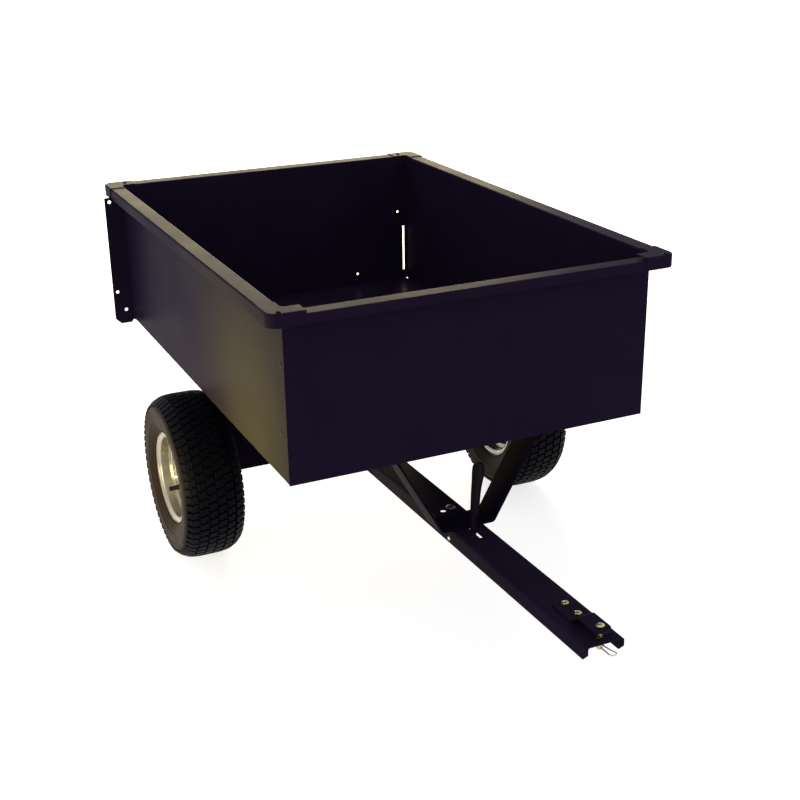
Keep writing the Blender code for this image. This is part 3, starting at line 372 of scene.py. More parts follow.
def rivet_holes(side, wall):
    """Changes that drill the two rivet holes of a corner through a sheet."""
    ends = sorted((side * (wall - SHEET), side * (wall + SHEET)))
    return [hole("X", (y, z), RIVET_HOLE, *ends) for _, y, z in RIVETS]


section = [(MIDDLE, 0.0), (MIDDLE, FRONT_LEVEL), (MIDDLE - STRIP_WIDTH, FRONT_LEVEL),
           (MIDDLE - STRIP_WIDTH, LIP_BOTTOM)]
changes = []
for word, side in SIDES:
    x = sorted((side * HALF_WIDTH, side * (STRIP_END + SHEET)))
    changes.append(cut(block(x, (-SHEET, 2 * FOLD), (-SHEET, FRONT_LEVEL - 2 * FOLD))))
    tab_x = HALF_WIDTH - SHEET - GAP - MIDDLE
    inner = tab_x - MIDDLE
    bend = fillet([(inner - 2 * FOLD, SHEET), (inner, SHEET), (inner, TAB)], FOLD - MIDDLE)[1:]
    tab = bend + [(inner + SHEET, TAB), (inner + SHEET, MIDDLE), (bend[0][0], MIDDLE)]
    changes.append(("UNION", run([(side * x, y) for x, y in tab], "Z", TAB_BOTTOM, LIP_BOTTOM)))
    changes += rivet_holes(side, tab_x)
front = made("front_wall", run(folded(section, SHEET, FOLD), "X", -STRIP_END, STRIP_END), changes,
             in_bed)
dress(front, "bed", black, ["front_panel"], SHEET_EDGE)

# Each side wall has a foot under the floor and a drilled flange behind
BED_LENGTH = 1.214
FLANGE_OUT = 0.053
FLANGE_TOP = 0.3462
FLANGE_FOLD_OUT = 0.012
SIDE_FRONT = 0.0018
FOOT = 0.006
FLANGE_HOLES = ((0.0398, 0.3343), (0.0408, 0.084), (0.0212, 0.0315))
FLANGE_HOLE = 0.0045
for word, side in SIDES:
    wall_x = HALF_WIDTH - MIDDLE
    lip_x = HALF_WIDTH + STRIP_WIDTH - MIDDLE
    section = [(HALF_WIDTH - FOOT, MIDDLE), (wall_x, MIDDLE), (wall_x, STRIP_LEVEL),
               (lip_x, STRIP_LEVEL), (lip_x, LIP_BOTTOM)]
    section = [(side * x, z) for x, z in section]
    bend = BED_LENGTH - 2 * FOLD
    x = sorted((side * (HALF_WIDTH - 4 * FOLD), side * (HALF_WIDTH + FOLD)))
    changes = [cut(block(x, (bend, BED_LENGTH + SHEET), (-SHEET, FLANGE_TOP)))]
    plan = folded([(side * wall_x, bend - FOLD), (side * wall_x, BED_LENGTH - MIDDLE),
                   (side * (HALF_WIDTH + FLANGE_FOLD_OUT), BED_LENGTH - MIDDLE)], SHEET, FOLD)
    changes.append(("UNION", run(plan, "Z", 0.0, FLANGE_TOP)))
    outer = HALF_WIDTH + FLANGE_OUT
    flange = [(HALF_WIDTH + 0.004, 0.0), (HALF_WIDTH + 0.008, -0.007), (outer - 0.015, -0.007),
              (outer, 0.008), (outer, FLANGE_TOP), (HALF_WIDTH + 0.004, FLANGE_TOP)]
    flange = [(side * x, z) for x, z in flange]
    changes.append(("UNION", run(flange, "Y", BED_LENGTH - SHEET, BED_LENGTH)))
    for out, height in FLANGE_HOLES:
        changes.append(hole("Y", (side * (HALF_WIDTH + out), height), FLANGE_HOLE, bend,
                            BED_LENGTH + FOLD))
    changes += rivet_holes(side, wall_x)
    wall = made(word + "_side_wall", run(folded(section, SHEET, FOLD), "Y", SIDE_FRONT, BED_LENGTH),
                changes, in_bed)
    dress(wall, "bed", black, [word + "_side_panel"], SHEET_EDGE)

# The floor is one flat sheet with six bolt holes, and the sill an angle welded along its rear edge
FLOOR_BOTTOM = 0.0018
SILL_Y = 1.2218
SILL_LEG = 0.015
SILL_TOP = 0.0283
SILL_FOLD = 0.0022
BOLT_HOLE = 0.0043
BOLT_PLACES = (("rest", 0.193, 0.065, 0.005), ("bracket_inner", 0.2295, 0.638, 0.003),
               ("bracket_outer", 0.3195, 0.638, 0.003))
FLOOR_PLAY = 0.0016
floor_half = HALF_WIDTH - SHEET - FLOOR_PLAY
changes = [hole("Z", (side * x, y), BOLT_HOLE, 0.0, 3 * SHEET)
           for _, side in SIDES for _, x, y, _ in BOLT_PLACES]
pan = made("bed_floor", block((-floor_half, floor_half), (FLOOR_BOTTOM, SILL_Y + SILL_LEG),
                              (FLOOR_BOTTOM, FLOOR_BOTTOM + SHEET)), changes, in_bed)
dress(pan, "bed", black, ["floor_panel"], SHEET_EDGE)
sill_level = FLOOR_BOTTOM + SHEET + GAP + MIDDLE
section = [(SILL_Y + MIDDLE, SILL_TOP), (SILL_Y + MIDDLE, sill_level), (SILL_Y + SILL_LEG, sill_level)]
sill = made("sill_angle", run(folded(section, SHEET, SILL_FOLD), "X", -floor_half, floor_half),
            (), in_bed)
dress(sill, "bed", black, ["tailgate_sill"], SHEET_EDGE)

# Tailgate
# The loose rear wall: the same sheet with its own top strip, a narrow slot near each edge and
# four punched holes. It stands on the floor and is lifted out by hand.
GATE_Y = 1.220
GATE_HALF = 0.4265
GATE_STRIP = 0.0465
GATE_BOTTOM = 0.0036
GATE_HOLES = ((0.027, 0.210), (0.161, 0.036))
GATE_HOLE = 0.0035
SLOT_INSETS = (0.018, 0.012)
SLOT_ENDS = (0.030, 0.165)
gate_lip = GATE_Y + GATE_STRIP - SHEET + MIDDLE
section = [(GATE_Y + MIDDLE, GATE_BOTTOM), (GATE_Y + MIDDLE, STRIP_LEVEL), (gate_lip, STRIP_LEVEL),
           (gate_lip, LIP_BOTTOM)]
changes = []
for _, side in SIDES:
    x = sorted(side * (GATE_HALF - inset) for inset in SLOT_INSETS)
    changes.append(cut(block(x, (GATE_Y - SHEET, GATE_Y + 2 * SHEET), SLOT_ENDS)))
    for inset, height in GATE_HOLES:
        changes.append(hole("Y", (side * (HALF_WIDTH - SHEET - inset), height), GATE_HOLE,
                            GATE_Y - SHEET, GATE_Y + 2 * SHEET))
gate = made("lift_out_tailgate", run(folded(section, SHEET, FOLD), "X", -GATE_HALF, GATE_HALF),
            changes, in_bed)
dress(gate, "tailgate", black, ["tailgate"], SHEET_EDGE)

# Corner caps
# Pressed steel caps over the four corners of the top strips: an L-shaped plate with a round
# corner and a rim turned down outside the strips' lips. They hide the gaps between the sheets.
CAP_TOP = 0.3758
CAP_RIM = 0.029
CAP_OUT = 0.4618
CAP_LEG = 0.077
CAP_CORNER = 0.024
CAP_INNER = 0.009
CAP_ROUND = 0.003


def rim_line(edge_y, way, inset):
    """Plan of a cap's outer edge, from the strip across the bed round to the side's."""
    corner_x = CAP_OUT - CAP_CORNER
    corner_y = edge_y + way * CAP_CORNER
    radius = CAP_CORNER - inset
    line = [(CAP_OUT - CAP_LEG, edge_y + way * inset)]
    for step in range(9):
        angle = math.pi / 2 * step / 8
        line.append((corner_x + radius * math.sin(angle),
                     corner_y - way * radius * math.cos(angle)))
    line.append((CAP_OUT - inset, edge_y + way * CAP_LEG))
    return line


for end, body, edge_y, inner_y in (("front", "bed", -0.0403, 0.0),
                                   ("rear", "tailgate", 1.2683, GATE_Y)):
    way = 1 if inner_y > edge_y else -1
    levels = [(0.0, CAP_TOP - CAP_RIM), (0.0, CAP_TOP - CAP_ROUND)]
    for step in range(1, 5):
        angle = math.pi / 2 * step / 4
        levels.append((CAP_ROUND * (1 - math.cos(angle)),
                       CAP_TOP - CAP_ROUND * (1 - math.sin(angle))))
    inside = fillet([(CAP_OUT - CAP_LEG, inner_y), (HALF_WIDTH, inner_y),
                     (HALF_WIDTH, edge_y + way * CAP_LEG)], CAP_INNER, 8)
    for word, side in SIDES:
        shape = bmesh.new()
        rows = [[shape.verts.new((side * x, y, z)) for x, y in rim_line(edge_y, way, inset)]
                for inset, z in levels]
        for lower, upper in zip(rows, rows[1:]):
            for index in range(len(lower) - 1):
                shape.faces.new((lower[index], lower[index + 1], upper[index + 1], upper[index]))
        flat = rows[-1] + [shape.verts.new((side * x, y, CAP_TOP)) for x, y in reversed(inside)]
        shape.faces.new(flat)
        bmesh.ops.recalc_face_normals(shape, faces=shape.faces)
        if shape.faces[-1].normal.z < 0.0:
            bmesh.ops.reverse_faces(shape, faces=shape.faces)
        cap = made(end + "_" + word + "_cap", shape, (), in_bed)
        sheet = cap.modifiers.new("sheet", "SOLIDIFY")
        sheet.thickness = SHEET
        sheet.offset = -1.0
        dress(cap, body, black, [end + "_" + word + "_corner_cap"], SHEET_EDGE)


def plating(name, light, dark, roughness):
    """Zinc plating: thin and bright, mottled where the bath left it thicker, with a fine grain."""
    # The mottle on a bolt head is 2 to 4 mm across
    mottle = (330.0, 4.0)
    return mottled(name, {"Metallic": 1.0}, clouds=mottle, colours=(dark, light),
                   gloss=(roughness, roughness + 0.14), grain=mottle, bumps=(0.15, 0.0001))[0]


bright_zinc = plating("bright_zinc_plating", "#c9cbcd", "#a4a6aa", 0.24)
yellow_zinc = plating("yellow_zinc_plating", "#d9d3a8", "#9c9455", 0.22)


def lathe(profile, axis="Z", steps=48, ring=False):
    """Turned shape from (level, radius) pairs; a third value clamps the radius to a hexagon."""
    rings = []
    for level, radius, *flats in profile:
        loop = []
        for step in range(steps):
            angle = math.tau * step / steps
            reach = radius
            if flats:
                hexagon = flats[0] / 2 / math.cos((angle + math.pi / 6) % (math.pi / 3) - math.pi / 6)
                reach = min(radius, hexagon)
            loop.append(point_on(axis, (reach * math.sin(angle), -reach * math.cos(angle)), level))
        rings.append(loop)
    return swept(rings, ring)


def dome(radius, height, steps=5):
    """Profile of a round head that stands on level 0, from its crown to its edge."""
    sphere = (radius * radius + height * height) / (2 * height)
    spread = math.asin(radius / sphere)
    profile = []
    for step in range(steps + 1):
        angle = spread * max(step / steps, 0.02)
        profile.append((height - sphere * (1 - math.cos(angle)), sphere * math.sin(angle)))
    return profile


def hexagon(flats, bottom, top, both=False):
    """Profile of a hexagon head or nut, chamfered at the top or at both ends."""
    corner = flats / 2 / math.cos(math.pi / 6)
    slope = (corner - flats * 0.47) * 0.58
    chamfer = [(slope * step / 4, flats * 0.47 + (corner - flats * 0.47) * step / 4, flats)
               for step in range(5)]
    profile = [(top - drop, radius, flats) for drop, radius, flats in chamfer]
    if both:
        return profile + [(bottom + drop, radius, flats) for drop, radius, flats in reversed(chamfer)]
    return profile + [(bottom, corner, flats)]


def growing_tree(name, inputs, result):
    """Geometry Nodes tree with named inputs and one result, and the sockets of its inputs."""
    tree = bpy.data.node_groups.new(name, "GeometryNodeTree")
    for label, kind in inputs.items():
        tree.interface.new_socket(label, in_out="INPUT", socket_type="NodeSocket" + kind)
    tree.interface.new_socket(result, in_out="OUTPUT", socket_type="NodeSocketGeometry")
    return tree, add(tree, "NodeGroupInput").outputs


def fastener_tree():
    """Tree that sets one fastener on each point of a mesh, along the point's aim."""
    tree, given = growing_tree("set_fasteners", {
        "Places": "Geometry", "Fastener": "Object", "Largest turn": "Float", "Seed": "Int",
        "Finish": "Material"}, "Fasteners")
    info = add(tree, "GeometryNodeObjectInfo", {"Object": given["Fastener"], "As Instance": True})
    aim = add(tree, "GeometryNodeInputNamedAttribute", {"Name": "aim"}, data_type="FLOAT_VECTOR")
    upright = add(tree, "FunctionNodeAlignRotationToVector", {"Vector": aim.outputs["Attribute"]},
                  axis="Z")
    heads = add(tree, "GeometryNodeInstanceOnPoints", {
        "Points": given["Places"], "Instance": info.outputs["Geometry"],
        "Rotation": upright.outputs["Rotation"]})
    chance = add(tree, "FunctionNodeRandomValue", {3: given["Largest turn"], "Seed": given["Seed"]},
                 data_type="FLOAT")
    about = add(tree, "ShaderNodeCombineXYZ", {"Z": chance.outputs[1]})
    turned = add(tree, "GeometryNodeRotateInstances", {
        "Instances": heads.outputs[0], "Rotation": about.outputs[0], "Local Space": True})
    real = add(tree, "GeometryNodeRealizeInstances", {"Geometry": turned.outputs[0]})
    finished = add(tree, "GeometryNodeSetMaterial", {"Geometry": real.outputs[0],
                                                     "Material": given["Finish"]})
    add(tree, "NodeGroupOutput", {0: finished.outputs[0]})
    return tree


def grown(name, tree, mesh, values):
    """Object with the plain mesh that a tree makes from a mesh and its named inputs."""
    piece = placed(name, mesh)
    growth = piece.modifiers.new("growth", "NODES")
    growth.node_group = tree
    for item in tree.interface.items_tree:
        if item.name in values:
            growth[item.identifier] = values[item.name]
    result = settled(piece)
    piece.modifiers.remove(growth)
    piece.data = result
    result.name = name
    return piece


set_fasteners = fastener_tree()
UP = (0.0, 0.0, 1.0)


def fasteners(name, shape, places, where, finish, body, nodes, seed=1, aims=None):
    """One kind of fastener on its places in a frame, along its aims or else upright."""
    model = made(name + "_model", shape)
    model.data.shade_smooth()
    model.data.set_sharp_from_angle(angle=SHARP_ANGLE)
    points = bpy.data.meshes.new(name + "_places")
    points.from_pydata([where @ Vector(place) for place in places], [], [])
    aim = points.attributes.new("aim", "FLOAT_VECTOR", "POINT")
    turn = where.to_3x3()
    aim.data.foreach_set("vector", [value for way in aims or [UP] * len(places)
                                    for value in turn @ Vector(way)])
    piece = grown(name, set_fasteners, points, {"Fastener": model, "Largest turn": math.tau,
                                                "Seed": seed, "Finish": finish})
    bpy.data.objects.remove(model)
    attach(piece, body)
    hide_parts(*nodes)


SCREW_SEAT = CAP_TOP + GAP
for end, x, y, body in (("front", 0.438, -0.0305, "bed"), ("rear", 0.4075, 1.24325, "tailgate")):
    # Cross recess, 4.4 mm long and 1 mm wide
    cross = [cut(block((-long, long), (-wide, wide), (0.0012, 0.004)))
             for long, wide in ((0.0022, 0.0005), (0.0005, 0.0022))]
    form = made("screw_form", lathe(dome(0.0055, 0.0025) + [(0.0, 0.0025), (-0.0118, 0.0025)]), cross)
    shape = bmesh.new()
    shape.from_mesh(form.data)
    bpy.data.objects.remove(form)
    fasteners(end + "_cap_screws", shape, [(side * x, y, SCREW_SEAT) for _, side in SIDES], in_bed,
              black, body, [end + "_" + word + "_cap_screw" for word, _ in SIDES], 3)

RIVET_SEAT = HALF_WIDTH + GAP
dark_zinc = plating("dark_passivated_zinc", "#1e1b22", "#151318", 0.45)
# Head 9.4 mm across outside, tail set over inside
rivet = dome(0.0047, 0.0018) + [(0.0, 0.003), (-0.0039, 0.003), (-0.0039, 0.005),
                                (-0.0055, 0.0047), (-0.0059, 0.0030)]
places = [(word + "_" + height + "_corner_rivet", side, y, z) for word, side in SIDES
          for height, y, z in RIVETS]
fasteners("corner_rivets", lathe(rivet, steps=32),
          [(side * RIVET_SEAT, y, z) for _, side, y, z in places], in_bed, dark_zinc, "bed",
          [name for name, *_ in places],
          aims=[(side, 0.0, 0.0) for _, side, _, _ in places])

BOLT_SEAT = 0.0036
NUT_SEAT = 0.0012
NUT_HEIGHT = 0.0065
places = [(word + "_" + name, side * x, y, plate) for word, side in SIDES
          for name, x, y, plate in BOLT_PLACES]
bolt = dome(0.009, 0.0035) + [(0.0, 0.004), (-0.0175, 0.004), (-0.0180, 0.0035)]
fasteners("floor_bolts", lathe(bolt), [(x, y, BOLT_SEAT) for _, x, y, _ in places], in_bed,
          bright_zinc, "bed", [name + "_bolt" for name, *_ in places], 5)
nut = [(0.0, BOLT_HOLE)] + hexagon(0.013, -NUT_HEIGHT, 0.0, both=True) + [(-NUT_HEIGHT, BOLT_HOLE)]
fasteners("floor_nuts", lathe(nut, ring=True),
          [(x, y, NUT_SEAT - plate) for _, x, y, plate in places], in_bed, bright_zinc, "bed",
          [name + "_nut" for name, *_ in places], 7)

# Bed rest
# A flat bar 5 mm thick and 72 mm wide, bent cold into a V with a flat foot and painted black.
# Its ears are bolted under the floor and its foot lies on the drawbar. Its black is darker, with
# less sheen, than the bed's: painted shade for where it stands under the bed.
# Darker copy of the bed's black with less sheen: painted shade for the parts under the bed
shade_darkened_black = black_paint("black_paint_on_bar_darkened_as_painted_shade", "#231b30", "#1a1426", 0.001)
BAR_SLOPE = math.radians(1.18)
axle_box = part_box("axle")
axle_centre = [(low + high) / 2 for low, high in zip(*axle_box)]
on_bar = Matrix.Translation(axle_centre) @ Matrix.Rotation(-BAR_SLOPE, 4, "X")
REST_PLATE = 0.005
REST_TOP = 0.0015 - REST_PLATE / 2
REST_EDGES = (0.029, 0.101)
AXLE_BACK = 0.636
AXLE_DROP = 0.228
BAR_TOP = 0.0117
rings = []
for y in REST_EDGES:
    foot = GAP + REST_PLATE / 2 - AXLE_DROP + BAR_TOP / math.cos(BAR_SLOPE)
    foot += math.tan(BAR_SLOPE) * (AXLE_BACK - y)
    half = [(0.0635, foot), (0.177, REST_TOP), (0.210, REST_TOP)]
    path = [(-x, z) for x, z in reversed(half)] + half
    rings.append([(x, y, z) for x, z in folded(path, REST_PLATE, 0.008)])
_, rest_x, rest_y, _ = BOLT_PLACES[0]
changes = [hole("Z", (side * rest_x, rest_y), BOLT_HOLE, REST_TOP - 0.01, 0.01)
           for _, side in SIDES]
rest = made("bed_rest", swept(rings), changes, in_bed)
dress(rest, "bed", shade_darkened_black, ["bed_rest_bracket"], 0.0008)


# Axle brackets
# Two hangers folded from 3 mm steel, bolted under the floor. The axle passes through the eyes in
# their cheeks and the bed tips about it. They have the bed rest's darker black, as painted shade.
def merged_copy(name, node):
    """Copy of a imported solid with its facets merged."""
    shape = bmesh.new()
    shape.from_mesh(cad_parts[node].data)
    bmesh.ops.remove_doubles(shape, verts=shape.verts, dist=0.00002)
    bmesh.ops.dissolve_limit(shape, angle_limit=math.radians(1.0), verts=shape.verts,
                             edges=shape.edges)
    return made(name, shape)


for word, _ in SIDES:
    hanger = merged_copy(word + "_axle_hanger", word + "_axle_bracket")
    dress(hanger, "bed", shade_darkened_black, [word + "_axle_bracket"], 0.0009)

# Drawbar
# An inverted channel pressed from 3 mm steel plate, 82 mm wide, from the axle to the hitch. Its
# legs are cropped at 45 degrees in front and the web is punched. Painted satin black.
BAR_WIDTH = 0.082
BAR_DEPTH = 0.033
BAR_PLATE = 0.003
BAR_FRONT = -1.146
BAR_REAR = 0.030
CROP = 0.015
PIVOT_Y = -0.592
PIVOT_Z = -0.0102
PIN_Y = -1.125
STOP_PLACE = (0.013, -0.494)
STRAP_BOLTS = ((0.003, -0.9985), (0.004, -1.043))
PIN_HOLE = 0.00665
AXLE_HOLE = 0.0082
bottom = BAR_TOP - BAR_DEPTH
x = BAR_WIDTH / 2 - BAR_PLATE / 2
z = BAR_TOP - BAR_PLATE / 2
channel = run(folded([(x, bottom), (x, z), (-x, z), (-x, bottom)], BAR_PLATE, 0.0042), "Y",
              BAR_FRONT, BAR_REAR)
wedge = [(BAR_FRONT - 2 * CROP, bottom + 3 * CROP), (BAR_FRONT - 2 * CROP, bottom - 2 * CROP),
         (BAR_FRONT + 3 * CROP, bottom - 2 * CROP)]
changes = [cut(run(wedge, "X", -BAR_WIDTH, BAR_WIDTH))]
for y, z, radius in ((0.0, 0.0, AXLE_HOLE), (PIVOT_Y, PIVOT_Z, BOLT_HOLE)):
    changes.append(hole("X", (y, z), radius, -BAR_WIDTH, BAR_WIDTH))
for place, radius in (((-0.0095, -0.502), 0.007), (STOP_PLACE, 0.0063), ((0.0, PIN_Y), PIN_HOLE),
                      (STRAP_BOLTS[0], BOLT_HOLE), (STRAP_BOLTS[1], BOLT_HOLE)):
    changes.append(hole("Z", place, radius, 0.0, BAR_TOP + 0.01))
# Slot for the lever
changes.append(cut(block((-0.001, 0.007), (-0.6615, -0.6071), (0.0, BAR_TOP + 0.01))))
bar = made("drawbar_channel", channel, changes, on_bar)
dress(bar, "drawbar", black, ["drawbar"], 0.0005)

# Hitch strap
# A flat bar 4.5 mm thick bolted to the web, joggled up so that the tractor's plate fits below it,
# with a rounded end. Painted with the drawbar.
STRAP_PLATE = 0.0045
STRAP_HALF = 0.0185
STRAP_FRONT = -1.147
HITCH_RISE = 0.0235
low = BAR_TOP + GAP + STRAP_PLATE / 2
high = BAR_TOP + HITCH_RISE - STRAP_PLATE / 2
path = [(STRAP_FRONT, high), (-1.0765, high), (-1.0525, low), (-0.986, low)]
end_y = STRAP_FRONT + STRAP_HALF
cutter = [(2 * STRAP_HALF, end_y), (2 * STRAP_HALF, 2 * STRAP_FRONT),
          (-2 * STRAP_HALF, 2 * STRAP_FRONT), (-2 * STRAP_HALF, end_y)]
for step in range(25):
    angle = math.pi * (1 + step / 24)
    cutter.append((STRAP_HALF * math.cos(angle), end_y + STRAP_HALF * math.sin(angle)))
changes = [cut(run(cutter, "Z", high - STRAP_PLATE, high + STRAP_PLATE)),
           hole("Z", (0.0, PIN_Y), PIN_HOLE, high - STRAP_PLATE, high + STRAP_PLATE)]
for place in STRAP_BOLTS:
    changes.append(hole("Z", place, BOLT_HOLE, low - STRAP_PLATE, low + STRAP_PLATE))
strap = made("joggled_strap", run(folded(path, STRAP_PLATE, 0.007), "X", -STRAP_HALF, STRAP_HALF),
             changes, on_bar)
dress(strap, "drawbar", black, ["hitch_strap"], 0.0007)

# Drawbar fasteners
# Yellow zinc-plated hexagon bolts hold the strap, with nuts inside the channel, and a large domed
# zinc-plated bolt stands in the web behind the bed rest; its zinc is darker and violet-grey, partly
# dull plating and partly painted shade under the bed. The lever turns on a headed pin.
strap_seat = BAR_TOP + STRAP_PLATE + 2 * GAP
web_bottom = BAR_TOP - BAR_PLATE
tail = web_bottom - GAP - 0.0105 - strap_seat
head = hexagon(0.014, 0.0006, 0.0055) + [(0.0006, 0.0062), (0.0, 0.0062)]
head += [(0.0, 0.004), (tail + 0.0005, 0.004), (tail, 0.0035)]
fasteners("strap_bolts", lathe(head), [(x, y, strap_seat) for x, y in STRAP_BOLTS], on_bar,
          yellow_zinc, "drawbar", ["rear_hitch_bolt", "front_hitch_bolt"], 11)
fasteners("strap_nuts", lathe(nut, ring=True), [(x, y, web_bottom - GAP) for x, y in STRAP_BOLTS],
          on_bar, yellow_zinc, "drawbar", ["rear_hitch_nut", "front_hitch_nut"], 13)

stop_seat = BAR_TOP + GAP
tail = web_bottom - 0.0123 - stop_seat
domed = dome(0.0115, 0.0055, 8) + [(0.0, 0.006), (tail + 0.0005, 0.006), (tail, 0.0054)]
# Darker, violet-grey zinc: partly dull plating, partly painted shade under the bed
shade_darkened_zinc = plating("zinc_plating_darkened_as_painted_shade", "#7d7486", "#5b5364", 0.38)
fasteners("stop_bolt_head", lathe(domed), [(*STOP_PLACE, stop_seat)], on_bar, shade_darkened_zinc, "drawbar",
          ["stop_bolt"])
big_nut = [(0.0, 0.0063)] + hexagon(0.019, -0.008, 0.0, both=True) + [(-0.008, 0.0063)]
fasteners("stop_bolt_nut", lathe(big_nut, ring=True), [(*STOP_PLACE, web_bottom - GAP)], on_bar,
          yellow_zinc, "drawbar", ["stop_nut"], 2)

outer = BAR_WIDTH / 2 + GAP
button = [(outer + level, radius) for level, radius in dome(0.0055, 0.003)]
pivot = button + [(outer, 0.004)]
pivot += [(-level, radius) for level, radius in reversed(pivot)]
lever_pin = made("lever_pivot_pin", lathe(pivot, "X", 36), (),
                 on_bar @ Matrix.Translation((0.0, PIVOT_Y, PIVOT_Z)))
dress(lever_pin, "drawbar", bright_zinc, ["latch_pivot_pin"])

# Latch lever
# A lever sawn from 6 mm flat bar: an eye on the pivot pin, an arm up through the slot in the web
# and a hand end that leans forward. Its tooth locks the bed rest down. It has the bed rest's
# darker black, as painted shade.
LEVER_X = 0.003
LEVER_HALF = 0.003
eye = [(0.0105 * math.cos(math.radians(angle)), 0.0105 * math.sin(math.radians(angle)))
       for angle in range(-90, 91, 10)]
outline = eye + [
    (-0.0190, 0.0105), (-0.0200, 0.0115), (-0.0205, 0.0130), (-0.0205, 0.0222), (-0.0155, 0.0222),
    (-0.0155, 0.0272), (-0.0185, 0.0300), (-0.0205, 0.0345), (-0.0222, 0.0750), (-0.0262, 0.1222),
    (-0.0286, 0.1400), (-0.0292, 0.1520), (-0.0295, 0.1605), (-0.0310, 0.1700), (-0.0338, 0.1784),
    (-0.0400, 0.1860), (-0.0510, 0.1930), (-0.0620, 0.1962), (-0.0680, 0.1970), (-0.0720, 0.1966),
    (-0.0743, 0.1948), (-0.0754, 0.1915), (-0.0762, 0.1870), (-0.0770, 0.1784), (-0.0754, 0.1690),
    (-0.0720, 0.1604), (-0.0673, 0.1480), (-0.0636, 0.1360), (-0.0604, 0.1222), (-0.0560, 0.0950),
    (-0.0545, 0.0780), (-0.0525, 0.0720), (-0.0440, 0.0600), (-0.0415, 0.0560), (-0.0405, 0.0520),
    (-0.0405, 0.0105), (-0.0405, -0.0042), (-0.0395, -0.0070), (-0.0370, -0.0092),
    (-0.0342, -0.0105)]
lever = made("latch_lever_arm", run(outline, "X", -LEVER_HALF, LEVER_HALF),
             [hole("X", (0.0, 0.0), BOLT_HOLE, -2 * LEVER_HALF, 2 * LEVER_HALF)],
             on_bar @ Matrix.Translation((LEVER_X, PIVOT_Y, PIVOT_Z)))
dress(lever, "latch_lever", shade_darkened_black, ["latch_lever"], 0.0009)

# Hitch pin and clip
# A turned drop pin, 12.7 mm thick with a low head, yellow zinc-plated, and a hairpin clip of 3 mm
# spring wire pushed through its cross hole.
PIN_RADIUS = 0.00635
seat = BAR_TOP + HITCH_RISE + GAP
tail = web_bottom - 0.021
# Head 17 mm across with a rounded rim, tail chamfered
profile = [(seat + 0.0040, 0.0004), (seat + 0.0040, 0.0062), (seat + 0.0034, 0.0076),
           (seat + 0.0024, 0.0084), (seat + 0.0006, 0.0084), (seat, 0.0080), (seat, PIN_RADIUS),
           (tail + 0.0022, PIN_RADIUS), (tail + 0.0008, 0.0054), (tail, 0.0045)]
clip_z = web_bottom - 0.0165
pin = made("drop_pin", lathe(profile), [hole("Y", (0.0, clip_z), 0.002, -0.01, 0.01)],
           on_bar @ Matrix.Translation((0.0, PIN_Y, 0.0)))
dress(pin, "hitch_pin", yellow_zinc, ["hitch_pin"])

WIRE = 0.0015
nearest = PIN_RADIUS + WIRE + 0.0006
CLIP_LEG = 0.032
CLIP_BOW = 0.0075
route = [(0.0, 0.018), (0.0, 0.006), (0.0, -0.016)]
route += [(CLIP_BOW * (1 - math.cos(math.pi * step / 12)),
           -CLIP_LEG - CLIP_BOW * math.sin(math.pi * step / 12)) for step in range(13)]
for step in range(1, 9):
    along = 1 - step / 6
    route.append((nearest + (2 * CLIP_BOW - nearest) * along * along, -CLIP_LEG * along))
wire = bpy.data.curves.new("clip_wire", "CURVE")
wire.dimensions = "3D"
wire.bevel_depth = WIRE
wire.bevel_resolution = 4
wire.use_fill_caps = True
spline = wire.splines.new("POLY")
spline.points.add(len(route) - 1)
for point, spot in zip(spline.points, route):
    point.co = (spot[0], spot[1], 0.0, 1.0)
draft = placed("clip_wire", wire)
shape = bmesh.new()
shape.from_mesh(settled(draft))
bpy.data.objects.remove(draft)
bmesh.ops.remove_doubles(shape, verts=shape.verts, dist=0.00001)
bmesh.ops.recalc_face_normals(shape, faces=shape.faces)
pale_wire = plating("pale_galvanised_spring_wire", "#e2e2dc", "#c6c6be", 0.40)
clip = made("spring_clip", shape, (), on_bar @ Matrix.Translation((0.0, PIN_Y, clip_z)))
dress(clip, "hairpin_clip", pale_wire, ["hairpin_clip"])

# Axle
# A plain 16 mm steel rod across the trailer, held by a washer and a nut outside each wheel. Two
# tubes on it keep the drawbar in the middle between the brackets.
WHEEL_X = 0.446
in_axle = Matrix.Translation(axle_centre)
HUB_END = 0.033
WASHER = 0.0022
LOCK_NUT = 0.007
end = WHEEL_X + HUB_END + GAP + WASHER + GAP + LOCK_NUT + 0.003


def tube(start, end, outside, steps):
    """Tube or washer that fits over the axle."""
    return lathe([(start, outside), (end, outside), (end, AXLE_HOLE), (start, AXLE_HOLE)], "X", steps,
                 True)


rod = made("axle_rod", lathe([(-end, 0.0066), (-end + 0.0013, 0.0079), (end - 0.0013, 0.0079),
                              (end, 0.0066)], "X", 40), (), in_axle)
dress(rod, "drawbar", bright_zinc, ["axle"])
for word, side in SIDES:
    spacer = made(word + "_spacer_tube", tube(*sorted((side * 0.0413, side * 0.1917)), 0.0114, 40),
                  (), in_axle)
    dress(spacer, "drawbar", yellow_zinc, [word + "_axle_spacer"], 0.0004)
    start = side * (WHEEL_X + HUB_END + GAP)
    face = start + side * WASHER
    washer = made(word + "_flat_washer", tube(start, face, 0.0165, 48), (), in_axle)
    dress(washer, "drawbar", yellow_zinc, [word + "_axle_washer"], 0.0004)
    form = [(0.0, AXLE_HOLE)] + hexagon(0.024, -LOCK_NUT, 0.0, both=True) + [(-LOCK_NUT, AXLE_HOLE)]
    base = face + side * (GAP + LOCK_NUT)
    form = [(base + side * level, *rest) for level, *rest in form]
    big = made(word + "_lock_nut", lathe(form, "X", 48, True), (), in_axle)
    dress(big, "drawbar", yellow_zinc, [word + "_axle_nut"])

